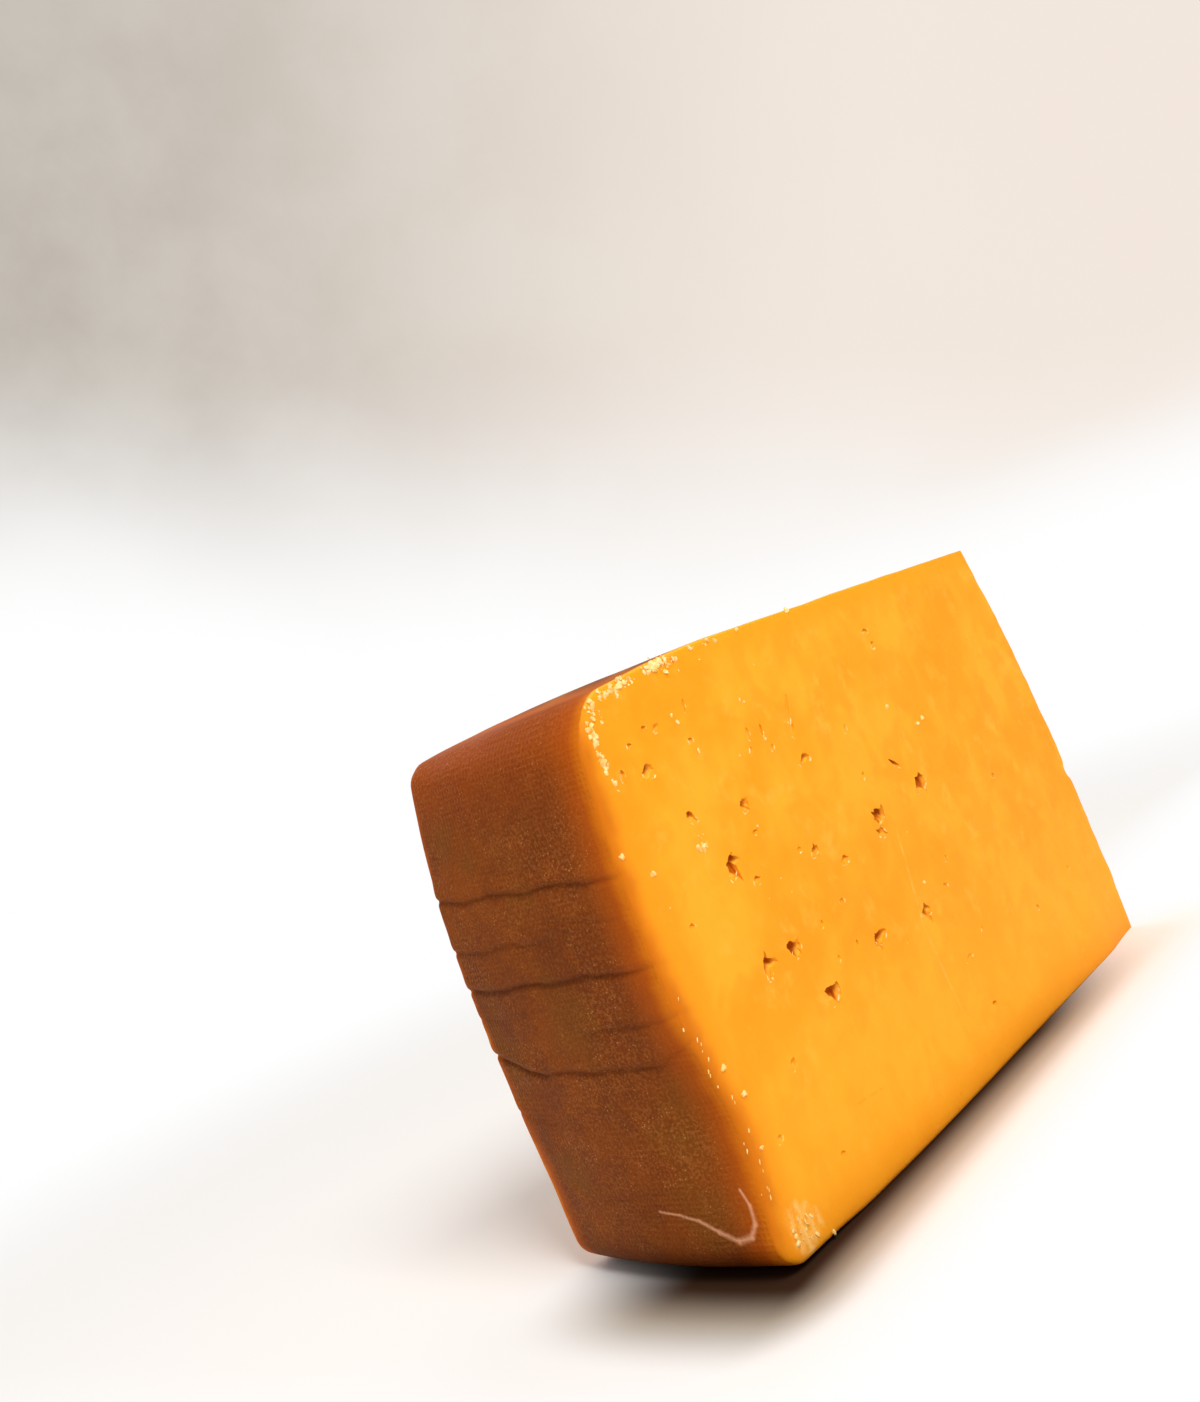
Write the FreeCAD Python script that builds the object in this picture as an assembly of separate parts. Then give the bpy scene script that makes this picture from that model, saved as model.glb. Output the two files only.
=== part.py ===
"""A narrow wedge cut from a smoked wheel of colby cheese, standing on the wheel's base.

Millimetres. While the wedge is made, the wheel's axis is Z, the near cut lies in the plane X = 0
with the cheese on its -X side, and the rim faces -Y. The finished wedge is then moved so that its
origin is the middle of its foot.
"""

import FreeCAD, Part
import math
import os
import random

from FreeCAD import Vector

AXIS_FOOT = Vector(0, 0, 0)
UP = Vector(0, 0, 1)

# The wheel, pressed in a cloth-lined hoop: its rim bellies out and its flats fall away near it
WHEEL_HEIGHT = 73.0
BELLY_RADIUS = 124.2
BELLY_HEIGHT = 46.0
TOP_DRAW_IN = 2.6
BASE_DRAW_IN = 3.6
TOP_RADIUS = BELLY_RADIUS - TOP_DRAW_IN
BASE_RADIUS = BELLY_RADIUS - BASE_DRAW_IN
TOP_FALL = 2.4
TOP_FALL_WIDTH = 37.0
BASE_LIFT = 0.9
BASE_LIFT_WIDTH = 26.0
TOP_SHOULDER = 6.5
BASE_SHOULDER = 3.2

# The two knife cuts, which meet in a thin edge beside the wheel's axis
WEDGE_ANGLE = 18.2
THIN_EDGE_PAST_AXIS = 1.5       # at the base
THIN_EDGE_LEAN = 10.0           # how far its top end leans towards the rim
FAR_CUT_BOW = 0.8               # the knife wandered, so the far cut swells at half height

# The cuts' edges, worn blunt by handling
CUT_EDGE_BLUNT = 0.7

# Folds of the cheesecloth, pressed into the rim. Each runs round the rim between two distances
# from the near cut, from one height to another, and fades out at both ends.
FOLD_REACH = 1.4                # of the ridge that presses a fold, in and out of the rim
FOLD_SPREAD = 0.9               # of the same ridge, up and down
FOLDS = [
    # start, end, height at start, height at end, depth
    (-6.0, 50.0, 50.6, 52.9, 0.75),
    (14.0, 60.0, 45.2, 45.6, 0.60),
    (-6.0, 54.0, 39.6, 40.2, 0.80),
    (-9.0, 18.0, 33.2, 32.7, 0.50),
    (-2.0, 50.0, 27.3, 31.6, 0.85),
    (13.0, 27.0, 11.4, 10.4, 0.35),
]

# Openings where the curds did not knit: slits with pointed ends, in loose nests on both cuts
OPENING_SEED = 23
NESTS_PER_CUT = 8
NEST_RADIUS = 9.0
OPENINGS_PER_NEST = 3
OPENING_LENGTHS = (1.6, 3.4)
OPENING_SLIMNESS = (0.4, 0.8)
OPENING_DEPTH = 1.8
OPENING_SPACING = 3.8
OPENING_MARGIN = 6.0            # from the rim and the flats
OPENING_THIN_MARGIN = 26.0      # from the axis, where the wedge is too thin

# A chip knocked out of the thin edge, as if scooped by a ball
CHIP_BALL = 7.0
CHIP_HEIGHT = 30.5
CHIP_DEPTH = 1.1

# How far a cutting tool reaches past the cheese
CLEAR = 10.0

# An edge lies on a cut when this many points along it are this near
EDGE_TESTS = 7
TOUCH = 0.05


def in_section(radius, height):
    """A point of the wheel's section, which is drawn in the plane of the near cut."""
    return Vector(0, -radius, height)


def on_rim(arc, radius, height):
    """A point at a radius and a height, an arc's length round from the near cut."""
    turn = arc / BELLY_RADIUS
    return Vector(-radius * math.sin(turn), -radius * math.cos(turn), height)


def rim_radius(height):
    """The rim's radius at a height, which falls off both ways from the belly."""
    above = height > BELLY_HEIGHT
    edge_radius = TOP_RADIUS if above else BASE_RADIUS
    reach = WHEEL_HEIGHT - BELLY_HEIGHT if above else BELLY_HEIGHT
    share = abs(height - BELLY_HEIGHT) / reach
    return BELLY_RADIUS - (BELLY_RADIUS - edge_radius) * share ** 2


def falling_flat(radius, width, flat_height, edge_height):
    """An arc from the rim to where the flat is level, which it meets without a corner."""
    middle = in_section(radius - width / 2, flat_height + (edge_height - flat_height) / 4)
    return Part.Arc(in_section(radius, edge_height), middle, in_section(radius - width, flat_height))


def circles(solid, radius, height):
    """The round edges of a wheel that have this radius and lie at this height."""
    return [edge for edge in solid.Edges
            if isinstance(edge.Curve, Part.Circle)
            and math.isclose(edge.Curve.Radius, radius, abs_tol=1e-3)
            and math.isclose(edge.Curve.Center.z, height, abs_tol=1e-3)]


def make_wheel():
    """The whole wheel: half of its section turned about the axis, then rounded at both shoulders."""
    top_edge = WHEEL_HEIGHT - TOP_FALL
    base_fall = falling_flat(BASE_RADIUS, BASE_LIFT_WIDTH, 0, BASE_LIFT)
    rim = Part.Arc(in_section(BASE_RADIUS, BASE_LIFT),
                   in_section(BELLY_RADIUS, BELLY_HEIGHT),
                   in_section(TOP_RADIUS, top_edge))
    top_fall = falling_flat(TOP_RADIUS, TOP_FALL_WIDTH, WHEEL_HEIGHT, top_edge)
    axis_top = in_section(0, WHEEL_HEIGHT)
    section = [
        Part.LineSegment(AXIS_FOOT, base_fall.EndPoint),
        base_fall,
        rim,
        top_fall,
        Part.LineSegment(top_fall.EndPoint, axis_top),
        Part.LineSegment(axis_top, AXIS_FOOT),
    ]
    outline = Part.Wire(Part.__sortEdges__([curve.toShape() for curve in section]))
    # The turn starts on the far side of the axis, so that the wedge has no seam
    face = Part.Face(outline).rotate(AXIS_FOOT, UP, 180)
    wheel = face.revolve(AXIS_FOOT, UP, 360)
    wheel = wheel.makeFillet(TOP_SHOULDER, circles(wheel, TOP_RADIUS, top_edge))
    wheel = wheel.makeFillet(BASE_SHOULDER, circles(wheel, BASE_RADIUS, BASE_LIFT))
    return wheel.Solids[0]


def far_cut_frame():
    """Where the far cut starts at the base, and its level directions: along the cut, and out of it."""
    turn = math.radians(WEDGE_ANGLE)
    start = Vector(0, THIN_EDGE_PAST_AXIS, 0)
    along = Vector(-math.sin(turn), -math.cos(turn), 0)
    outward = Vector(-math.cos(turn), math.sin(turn), 0)
    return start, along, outward


def far_cut_offset(height):
    """How far the far cut stands out from its foot at a height: it leans in and bows out."""
    share = height / WHEEL_HEIGHT
    lean = THIN_EDGE_LEAN * math.sin(math.radians(WEDGE_ANGLE))
    return -lean * share + 4 * FAR_CUT_BOW * share * (1 - share)


def near_knife():
    """All that lies beyond the near cut."""
    reach = BELLY_RADIUS + CLEAR
    return Part.makeBox(reach, 2 * reach, WHEEL_HEIGHT + 2 * CLEAR, Vector(0, -reach, -CLEAR))


def far_knife():
    """All that lies beyond the far cut: an upright bowed strip, with a thick back, drawn along it."""
    start, along, outward = far_cut_frame()
    reach = BELLY_RADIUS + CLEAR

    def at(offset, height):
        return start - along * reach + outward * offset + UP * height

    low, middle, high = -CLEAR, WHEEL_HEIGHT / 2, WHEEL_HEIGHT + CLEAR
    blade = Part.Arc(at(far_cut_offset(low), low),
                     at(far_cut_offset(middle), middle),
                     at(far_cut_offset(high), high))
    back = [at(far_cut_offset(high), high), at(reach, high), at(reach, low), at(far_cut_offset(low), low)]
    outline = Part.Wire([blade.toShape()] + Part.makePolygon(back).Edges)
    return Part.Face(outline).extrude(along * 2 * reach)


def cut_edges(wedge):
    """The edges round both cuts, apart from the thin edge that they share."""
    start, _, outward = far_cut_frame()

    def near_gap(point):
        return abs(point.x)

    def far_gap(point):
        return abs((point - start).dot(outward) - far_cut_offset(point.z))

    def lies_on(edge, gap):
        return all(gap(point) < TOUCH for point in edge.discretize(EDGE_TESTS))

    return [edge for edge in wedge.Edges if lies_on(edge, near_gap) != lies_on(edge, far_gap)]


def fold_tool(start, end, start_height, end_height, depth):
    """A bent four-sided ridge that sinks to the fold's depth half-way along and clears the rim at
    both ends."""
    def ridge_at(share, sunk):
        height = start_height + (end_height - start_height) * share
        radius = rim_radius(height) + FOLD_REACH - sunk
        return on_rim(start + (end - start) * share, radius, height)

    foot = ridge_at(0, 0)
    path = Part.Arc(foot, ridge_at(0.5, depth), ridge_at(1, 0)).toShape()
    out = Vector(foot.x, foot.y, 0).normalize() * FOLD_REACH
    across = UP * FOLD_SPREAD
    ridge = Part.makePolygon([foot - out, foot - across, foot + out, foot + across, foot - out])
    return Part.Wire([path]).makePipe(Part.Face(ridge))


def opening_tool(centre, along, up, outward, length, width):
    """A slit with pointed ends and bowed lips that runs straight into a cut."""
    start = centre + outward * CLEAR
    tip, lip, shy = along * (length / 2), up * (width / 2), along * (length / 6)
    corners = [start + tip, start + shy + lip, start - shy + lip,
               start - tip, start - shy - lip, start + shy - lip]
    return Part.Face(Part.makePolygon(corners + corners[:1])).extrude(-outward * (CLEAR + OPENING_DEPTH))


def opening_tool(centre, along, up, outward, length, width):
    """A slit with two bowed lips that runs straight into a cut."""
    start = centre + outward * CLEAR
    left, right = start - along * (length / 2), start + along * (length / 2)
    upper = Part.Arc(left, start + up * (width / 2), right).toShape()
    lower = Part.Arc(right, start - up * (width / 2), left).toShape()
    return Part.Face(Part.Wire([upper, lower])).extrude(-outward * (CLEAR + OPENING_DEPTH))


def scatter_openings(draw, radius_limits):
    """Places on a cut, as (distance from the axis, height), gathered in nests and kept apart."""
    low, high = OPENING_MARGIN, WHEEL_HEIGHT - OPENING_MARGIN
    places = []
    for _ in range(NESTS_PER_CUT):
        nest = (draw.uniform(*radius_limits), draw.uniform(low, high))
        for _ in range(OPENINGS_PER_NEST):
            place = tuple(middle + draw.uniform(-NEST_RADIUS, NEST_RADIUS) for middle in nest)
            inside = radius_limits[0] < place[0] < radius_limits[1] and low < place[1] < high
            if inside and all(math.dist(place, other) > OPENING_SPACING for other in places):
                places.append(place)
    return places


def opening_tools():
    """Every opening of both cuts."""
    draw = random.Random(OPENING_SEED)
    start, far_along, far_outward = far_cut_frame()
    limits = (OPENING_THIN_MARGIN, BASE_RADIUS - OPENING_MARGIN)
    cuts = [
        (AXIS_FOOT, Vector(0, -1, 0), Vector(1, 0, 0), lambda height: 0),
        (start, far_along, far_outward, far_cut_offset),
    ]
    tools = []
    for foot, along, outward, offset in cuts:
        for distance, height in scatter_openings(draw, limits):
            centre = foot + along * distance + UP * height + outward * offset(height)
            length = draw.uniform(*OPENING_LENGTHS)
            turn = FreeCAD.Rotation(outward, draw.uniform(0, 180))
            tools.append(opening_tool(centre, turn.multVec(along), turn.multVec(UP), outward,
                                      length, length * draw.uniform(*OPENING_SLIMNESS)))
    return tools


def chip_tool():
    """A ball that takes a shallow scoop out of the thin edge."""
    thin_edge = THIN_EDGE_PAST_AXIS + far_cut_offset(CHIP_HEIGHT) / math.sin(math.radians(WEDGE_ANGLE))
    return Part.makeSphere(CHIP_BALL, Vector(0, thin_edge + CHIP_BALL - CHIP_DEPTH, CHIP_HEIGHT))


def make_wedge():
    """The wheel cut twice, softened at its edges, creased, opened and chipped."""
    wedge = make_wheel().cut([near_knife(), far_knife()])
    wedge = wedge.makeChamfer(CUT_EDGE_BLUNT, cut_edges(wedge))
    marks = [fold_tool(*fold) for fold in FOLDS] + opening_tools() + [chip_tool()]
    wedge = wedge.cut(marks).removeSplitter().Solids[0]
    foot = wedge.optimalBoundingBox(False)
    wedge.translate(Vector(-foot.Center.x, -foot.Center.y, -foot.ZMin))
    return wedge


os.makedirs("parts", exist_ok=True)
make_wedge().exportStep("parts/cheese_wedge.step")
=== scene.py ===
"""A narrow wedge of smoked colby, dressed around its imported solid. Metres, +Z up.

The wheel's axis is upright. The near cut faces +X, the rim faces -Y, and the thin edge points +Y.
"""

import math
import random

import bpy
import numpy as np
from mathutils import Matrix, Vector, noise


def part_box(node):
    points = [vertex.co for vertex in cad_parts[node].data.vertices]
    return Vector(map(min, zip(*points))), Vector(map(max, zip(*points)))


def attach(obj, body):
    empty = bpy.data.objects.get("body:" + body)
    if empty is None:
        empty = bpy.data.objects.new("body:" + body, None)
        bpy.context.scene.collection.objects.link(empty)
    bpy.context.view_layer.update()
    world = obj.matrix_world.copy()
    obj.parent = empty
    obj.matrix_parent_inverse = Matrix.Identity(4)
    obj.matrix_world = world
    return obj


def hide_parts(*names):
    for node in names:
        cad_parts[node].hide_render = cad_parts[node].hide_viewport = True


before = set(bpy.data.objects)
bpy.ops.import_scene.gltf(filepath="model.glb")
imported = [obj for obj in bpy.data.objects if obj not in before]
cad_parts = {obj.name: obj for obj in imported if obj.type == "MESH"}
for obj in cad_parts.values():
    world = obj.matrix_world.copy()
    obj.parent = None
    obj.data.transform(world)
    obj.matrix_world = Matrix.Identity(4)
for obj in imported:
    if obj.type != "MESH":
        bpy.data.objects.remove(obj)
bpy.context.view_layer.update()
LOW, HIGH = (np.array(corner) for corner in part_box("cheese_wedge"))
MM = 0.001

# The wheel that the wedge was cut from
WHEEL_HEIGHT = float(HIGH[2] - LOW[2])
BELLY_RADIUS = 124.2 * MM
BELLY_HEIGHT = 46.0 * MM        # where the rim stands out furthest
TOP_RADIUS = BELLY_RADIUS - 2.6 * MM
BASE_RADIUS = BELLY_RADIUS - 3.6 * MM
TOP_FALL, TOP_FALL_WIDTH = 2.4 * MM, 37.0 * MM
BASE_LIFT, BASE_LIFT_WIDTH = 0.9 * MM, 26.0 * MM
TOP_SHOULDERS = 6.5 * MM, 2.2 * MM      # at the near cut and at the far cut
BASE_SHOULDERS = 4.0 * MM, 3.2 * MM

# The two cuts. The near cut is the plane x = CUT_X, and the wheel's axis passes through (CUT_X, AXIS_Y)
CUT_X = float(HIGH[0])
AXIS_Y = float(LOW[1]) + BELLY_RADIUS
WEDGE_ANGLE = math.radians(18.2)
THIN_EDGE_PAST_AXIS = 1.5 * MM
THIN_EDGE_LEAN = 10.0 * MM
FAR_CUT_BOW = 0.8 * MM
CUT_EDGE_ROUND = 0.8 * MM
THIN_EDGE_BLUNT = 1.5 * MM      # how far the blunt thin edge stops short of where the cuts would meet

# The block that is bent into the wedge: its size, and its rows of faces
BLOCK_WIDTH = BELLY_RADIUS * WEDGE_ANGLE
BLOCK_LENGTH = BELLY_RADIUS
ROWS_ALONG, ROWS_UP, ROWS_ACROSS = 130, 92, 36
EDGE_ROWS = (0.0, 0.12 * MM, 0.32 * MM, 0.6 * MM, 1.0 * MM)     # close rows round each cut's edge
HEIGHT_ROUNDS = 3               # of working out a height and a radius from each other
CUT_SMOOTHNESS, CRUMB_SMOOTHNESS = math.radians(50), math.radians(40)   # sharper edges stay sharp


# ---------------------------------------------------------------- small helpers

def only(piece):
    """Select one piece, alone, and make it active."""
    bpy.ops.object.select_all(action="DESELECT")
    piece.select_set(True)
    bpy.context.view_layer.objects.active = piece
    return piece


def points_of(piece):
    """A piece's points, a row of three numbers each."""
    flat = np.empty(len(piece.data.vertices) * 3)
    piece.data.vertices.foreach_get("co", flat)
    return flat.reshape(-1, 3)


def set_points(piece, points):
    """Move a piece's points to new places."""
    piece.data.vertices.foreach_set("co", np.ascontiguousarray(points).ravel())
    piece.data.update()


def store(piece, name, values):
    """Keep one number for each point of a piece, for its material to read."""
    layer = piece.data.attributes.new(name, "FLOAT", "POINT")
    layer.data.foreach_set("value", np.ascontiguousarray(values, dtype=np.float32))


def join(pieces):
    """Make one piece of several."""
    bpy.ops.object.select_all(action="DESELECT")
    for piece in pieces:
        piece.select_set(True)
    bpy.context.view_layer.objects.active = pieces[0]
    bpy.ops.object.join()
    return bpy.context.object


def settle(piece):
    """Bring a finished piece's place into its mesh."""
    only(piece)
    bpy.ops.object.transform_apply(location=True, rotation=True, scale=True)


def face_outwards(piece):
    """Turn all of a closed piece's faces to point outwards."""
    only(piece)
    bpy.ops.object.mode_set(mode="EDIT")
    bpy.ops.mesh.select_all(action="SELECT")
    bpy.ops.mesh.normals_make_consistent(inside=False)
    bpy.ops.object.mode_set(mode="OBJECT")


def step(low, high, value):
    """0 below low, 1 above high, and smooth between."""
    share = np.clip((value - low) / (high - low), 0, 1)
    return share * share * (3 - 2 * share)


def bump_at(value, middle, width):
    """A smooth bump: 1 at its middle, and almost 0 two widths away."""
    return np.exp(-((value - middle) / width) ** 2)


def cloud(points, size, seed):
    """Smooth noise from -1 to 1 at each point, with lumps of about a given size."""
    shift = Vector((seed * 17.3, seed * 5.1, seed * 9.7))
    return np.array([noise.noise(Vector(point) / size + shift) for point in points])


def layers(points, rows, seed):
    """Clouds laid over each other, with a row of numbers for each: see the relief's own rows below."""
    return sum(height * MM * cloud(points * (1, stretch, 1), size * MM, seed + row)
               for row, (height, size, stretch) in enumerate(rows))


# ---------------------------------------------------------------- the wedge's form

def rim_radius(height):
    """How far the bellied rim is from the axis, at a height."""
    above = height > BELLY_HEIGHT
    edge = np.where(above, TOP_RADIUS, BASE_RADIUS)
    reach = np.where(above, WHEEL_HEIGHT - BELLY_HEIGHT, BELLY_HEIGHT)
    return BELLY_RADIUS - (BELLY_RADIUS - edge) * (np.abs(height - BELLY_HEIGHT) / reach) ** 2


def top_height(radius):
    """The height of the top, which falls towards its shoulder."""
    return WHEEL_HEIGHT - TOP_FALL * np.clip((radius - TOP_RADIUS) / TOP_FALL_WIDTH + 1, 0, 1.1) ** 2


def base_height(radius):
    """The height of the base, which lifts towards its shoulder."""
    return BASE_LIFT * np.clip((radius - BASE_RADIUS) / BASE_LIFT_WIDTH + 1, 0, 1.1) ** 2


def shoulder_at(turn, shoulders):
    """The radius of a shoulder at a turn from the near cut."""
    near, far = shoulders
    return near + (far - near) * np.clip(turn / WEDGE_ANGLE, 0, 1)


def thin_edge_at(height):
    """How far towards the rim from the axis the two cuts meet, at a height."""
    share = height / WHEEL_HEIGHT
    bow = 4 * FAR_CUT_BOW / math.sin(WEDGE_ANGLE) * share * (1 - share)
    return THIN_EDGE_LEAN * share - bow - THIN_EDGE_PAST_AXIS


def length_to_rim(turn, height):
    """How far the rim is from the thin edge, along a line at a turn from the near cut."""
    start, radius = thin_edge_at(height), rim_radius(height)
    return np.sqrt(radius ** 2 - (start * np.sin(turn)) ** 2) - start * np.cos(turn)


def round_corner(under_rim, under_flat, radius):
    """Draw a square corner's depths under the rim and under a flat in to a round of that radius."""
    out, up = (radius - under_rim) / radius, (radius - under_flat) / radius
    inside = (out > 0) & (up > 0)
    out_round = out * np.sqrt(1 - np.where(inside, up, 0) ** 2 / 2)
    up_round = up * np.sqrt(1 - np.where(inside, out, 0) ** 2 / 2)
    return (np.where(inside, radius * (1 - out_round), under_rim),
            np.where(inside, radius * (1 - up_round), under_flat))


def bend_to_wedge(block):
    """Where each point of the straight block lies in the wedge."""
    across = -block[:, 0]
    along = np.clip(block[:, 1] / BLOCK_LENGTH, 0, 1)
    up = np.clip(block[:, 2] / WHEEL_HEIGHT, 0, 1)
    turn = WEDGE_ANGLE * across / BLOCK_WIDTH

    to_cut = np.minimum(across, BLOCK_WIDTH - across)
    short = np.clip(CUT_EDGE_ROUND - to_cut, 0, None)
    inset = CUT_EDGE_ROUND - np.sqrt(CUT_EDGE_ROUND ** 2 - short ** 2)

    height = up * WHEEL_HEIGHT
    for _ in range(HEIGHT_ROUNDS):
        reach = length_to_rim(turn, height) - inset
        under_rim = (1 - along) * (reach - THIN_EDGE_BLUNT)
        radius = rim_radius(height) - inset - under_rim
        low, high = base_height(radius) + inset, top_height(radius) - inset
        under_top, over_base = (1 - up) * (high - low), up * (high - low)
        rim_top, under_top = round_corner(under_rim, under_top, shoulder_at(turn, TOP_SHOULDERS))
        rim_base, over_base = round_corner(under_rim, over_base, shoulder_at(turn, BASE_SHOULDERS))
        height = np.where(up > 0.5, high - under_top, low + over_base)
    under_rim = np.where(up > 0.5, rim_top, rim_base)

    distance = length_to_rim(turn, height) - inset - under_rim
    return np.stack([CUT_X - distance * np.sin(turn),
                     AXIS_Y - thin_edge_at(height) - distance * np.cos(turn),
                     height], axis=1)


def make_block():
    """A closed block in even rows: a grid for the near cut, drawn out row by row to the far cut."""
    bpy.ops.object.select_all(action="DESELECT")
    bpy.ops.mesh.primitive_grid_add(x_subdivisions=ROWS_UP, y_subdivisions=ROWS_ALONG, size=1)
    block = bpy.context.object
    block.name = "cheese"
    # Stand the grid up, with its length along Y and its first face towards +X
    block.data.transform(Matrix(((0, 0, 1, 0), (0, 1, 0, 0), (-1, 0, 0, 0), (0, 0, 0, 1))))
    block.data.transform(Matrix.Diagonal((1, BLOCK_LENGTH, WHEEL_HEIGHT, 1)))
    block.data.transform(Matrix.Translation((0, BLOCK_LENGTH / 2, WHEEL_HEIGHT / 2)))

    middle = np.linspace(EDGE_ROWS[-1], BLOCK_WIDTH - EDGE_ROWS[-1], ROWS_ACROSS)
    rows = list(EDGE_ROWS[:-1]) + list(middle) + [BLOCK_WIDTH - row for row in EDGE_ROWS[-2::-1]]
    only(block)
    bpy.ops.object.mode_set(mode="EDIT")
    bpy.ops.mesh.select_mode(type="FACE")
    bpy.ops.mesh.select_all(action="SELECT")
    for before, after in zip(rows, rows[1:]):
        bpy.ops.mesh.extrude_region_move(TRANSFORM_OT_translate={"value": (before - after, 0, 0)})
    bpy.ops.object.mode_set(mode="OBJECT")
    face_outwards(block)
    return block


def refine_rim(block):
    """Cut each face of the rim in nine, for the folds of the cloth."""
    only(block)
    bpy.ops.object.mode_set(mode="EDIT")
    bpy.ops.mesh.select_all(action="DESELECT")
    bpy.ops.object.mode_set(mode="OBJECT")
    centres = np.empty(len(block.data.polygons) * 3)
    block.data.polygons.foreach_get("center", centres)
    on_rim = centres.reshape(-1, 3)[:, 1] > BLOCK_LENGTH * (1 - 1e-4)
    block.data.polygons.foreach_set("select", on_rim)
    bpy.ops.object.mode_set(mode="EDIT")
    bpy.ops.mesh.subdivide(number_cuts=2)
    bpy.ops.object.mode_set(mode="OBJECT")


class Skin:
    """Where each point lies on the wedge: depths under its faces, and its place round the rim.

    Once the rim has its relief, its depths are measured from that.
    """

    def __init__(self, points, relieved=False):
        x, y, self.height = points[:, 0], points[:, 1], points[:, 2]
        from_axis = np.stack([CUT_X - x, AXIS_Y - y], axis=1)
        self.radius = np.hypot(from_axis[:, 0], from_axis[:, 1])
        self.arc = np.arctan2(from_axis[:, 0], from_axis[:, 1]) * BELLY_RADIUS
        self.along = from_axis[:, 1]
        self.under_near = from_axis[:, 0]
        start = thin_edge_at(self.height)
        self.under_far = ((from_axis[:, 1] - start) * math.sin(WEDGE_ANGLE)
                          - from_axis[:, 0] * math.cos(WEDGE_ANGLE))
        self.far_along = ((from_axis[:, 1] - start) * math.cos(WEDGE_ANGLE)
                          + from_axis[:, 0] * math.sin(WEDGE_ANGLE))
        self.under_cut = np.minimum(self.under_near, self.under_far)
        self.under_rim = rim_radius(self.height) - self.radius
        if relieved:
            self.under_rim += rim_relief(self)
        self.under_top = top_height(self.radius) - self.height
        self.over_base = self.height - base_height(self.radius)
        # In a round shoulder, the depth is that under the round
        turn = self.arc / BELLY_RADIUS
        self.under_rind = np.minimum.reduce([
            self.corner_depth(self.under_rim, self.under_top, shoulder_at(turn, TOP_SHOULDERS)),
            self.corner_depth(self.under_rim, self.over_base, shoulder_at(turn, BASE_SHOULDERS))])

    @staticmethod
    def corner_depth(rim, flat, radius):
        """How deep under a round shoulder a point is, from its depths under the rim and the flat."""
        out, up = np.clip(radius - rim, 0, None), np.clip(radius - flat, 0, None)
        return np.where((out > 0) & (up > 0), radius - np.hypot(out, up), np.minimum(rim, flat))


# Folds of the cheesecloth pressed into the rim: (start, end, height at start, height at end, depth),
# in millimetres, with the ends measured round the rim from the near cut
FOLDS = [
    (-4, 46, 50.4, 53.2, 0.34),
    (13, 46, 45.0, 45.8, 0.24),
    (-4, 46, 39.4, 40.4, 0.38),
    (-3, 19, 33.4, 32.6, 0.22),
    (3, 31, 27.6, 28.2, 0.32),
    (26, 44, 27.6, 32.4, 0.42),
    (-3, 7, 30.8, 27.8, 0.20),
    (13, 28, 11.5, 10.3, 0.14),
    (20, 45, 36.6, 36.0, 0.10),
    (24, 45, 21.0, 23.4, 0.12),
    (2, 16, 45.6, 47.4, 0.10),
]
FOLD_WIDTH = 0.36 * MM
FOLD_FADE = 0.22                # the share of a fold's length over which each end dies out
FOLD_LIP, FOLD_LIP_WIDTH = 1.2 * MM, 1.0 * MM       # the ridge above a fold
FOLD_LIP_RISE = 0.35            # as a share of the fold's depth
FOLD_FULL_SHADE = 0.4           # the depth in millimetres that looks darkest
FOLD_SHADE_DROP, FOLD_SHADE_WIDTH = 0.1 * MM, 0.5 * MM

# Layers of relief: (height in mm, size of its lumps in mm, how fast it changes upwards, 0 to 1)
RIM_LUMPS = [(0.22, 17, 1), (0.07, 4.5, 1)]
FOLD_WANDER = [(0.8, 9, 0.15), (0.25, 2.5, 1)]
KNIFE_DRAG = [(0.10, 22, 0.4), (0.035, 3.5, 1)]
FLAT_LUMPS = [(0.25, 19, 1), (0.08, 5, 1)]
THIN_EDGE_TEARS = [(0.45, 6, 1), (0.2, 1.6, 1)]

# How deep under each face its relief reaches, and where that of the flats and the cuts fades out
CUT_REACH, RIM_REACH, FLAT_REACH = 1.6 * MM, 4.0 * MM, 3.0 * MM
FLAT_FADE = 12 * MM             # from the rim
THIN_FADE = 2 * MM, 9 * MM      # from the thin edge
BASE_FLAT, BASE_FADE = 60 * MM, 30 * MM     # from the axis: the base is flat, and then its relief fades in

# Where the rim lies inside the wheel's true round: all over, and in one press near the foot of the near cut
RIM_SINK, RIM_SINK_HEIGHT = 1.0 * MM, 14 * MM
PRESS_DEPTH, PRESS_HEIGHT = 2.3 * MM, 19 * MM
PRESS_RISE, PRESS_ROUND = 10 * MM, 11 * MM

# The near cut's foot spreads, and less towards both its ends
FOOT_FLARE, FLARE_HEIGHT = 1.0 * MM, 15 * MM
FLARE_START = 116 * MM          # from the axis
FLARE_FADES = 40 * MM, 16 * MM  # at the rim's end and at the thin end

CHIP_DEPTH, CHIP_HEIGHT, CHIP_WIDTH = 1.1 * MM, 30.2 * MM, 1.5 * MM       # out of the thin edge


def fold_lines(skin, place):
    """The folds as (how strongly each holds, how far above its line each point is) pairs."""
    wander = layers(place, FOLD_WANDER, 3)
    for start, end, height_start, height_end, depth in FOLDS:
        share = (skin.arc / MM - start) / (end - start)
        held = depth * step(0, FOLD_FADE, share) * step(0, FOLD_FADE, 1 - share)
        yield held, skin.height - (height_start + (height_end - height_start) * share) * MM - wander


def laid_flat(along, height):
    """A face's points as if it were laid out flat."""
    return np.stack([along, height, np.zeros_like(along)], axis=1)


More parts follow.
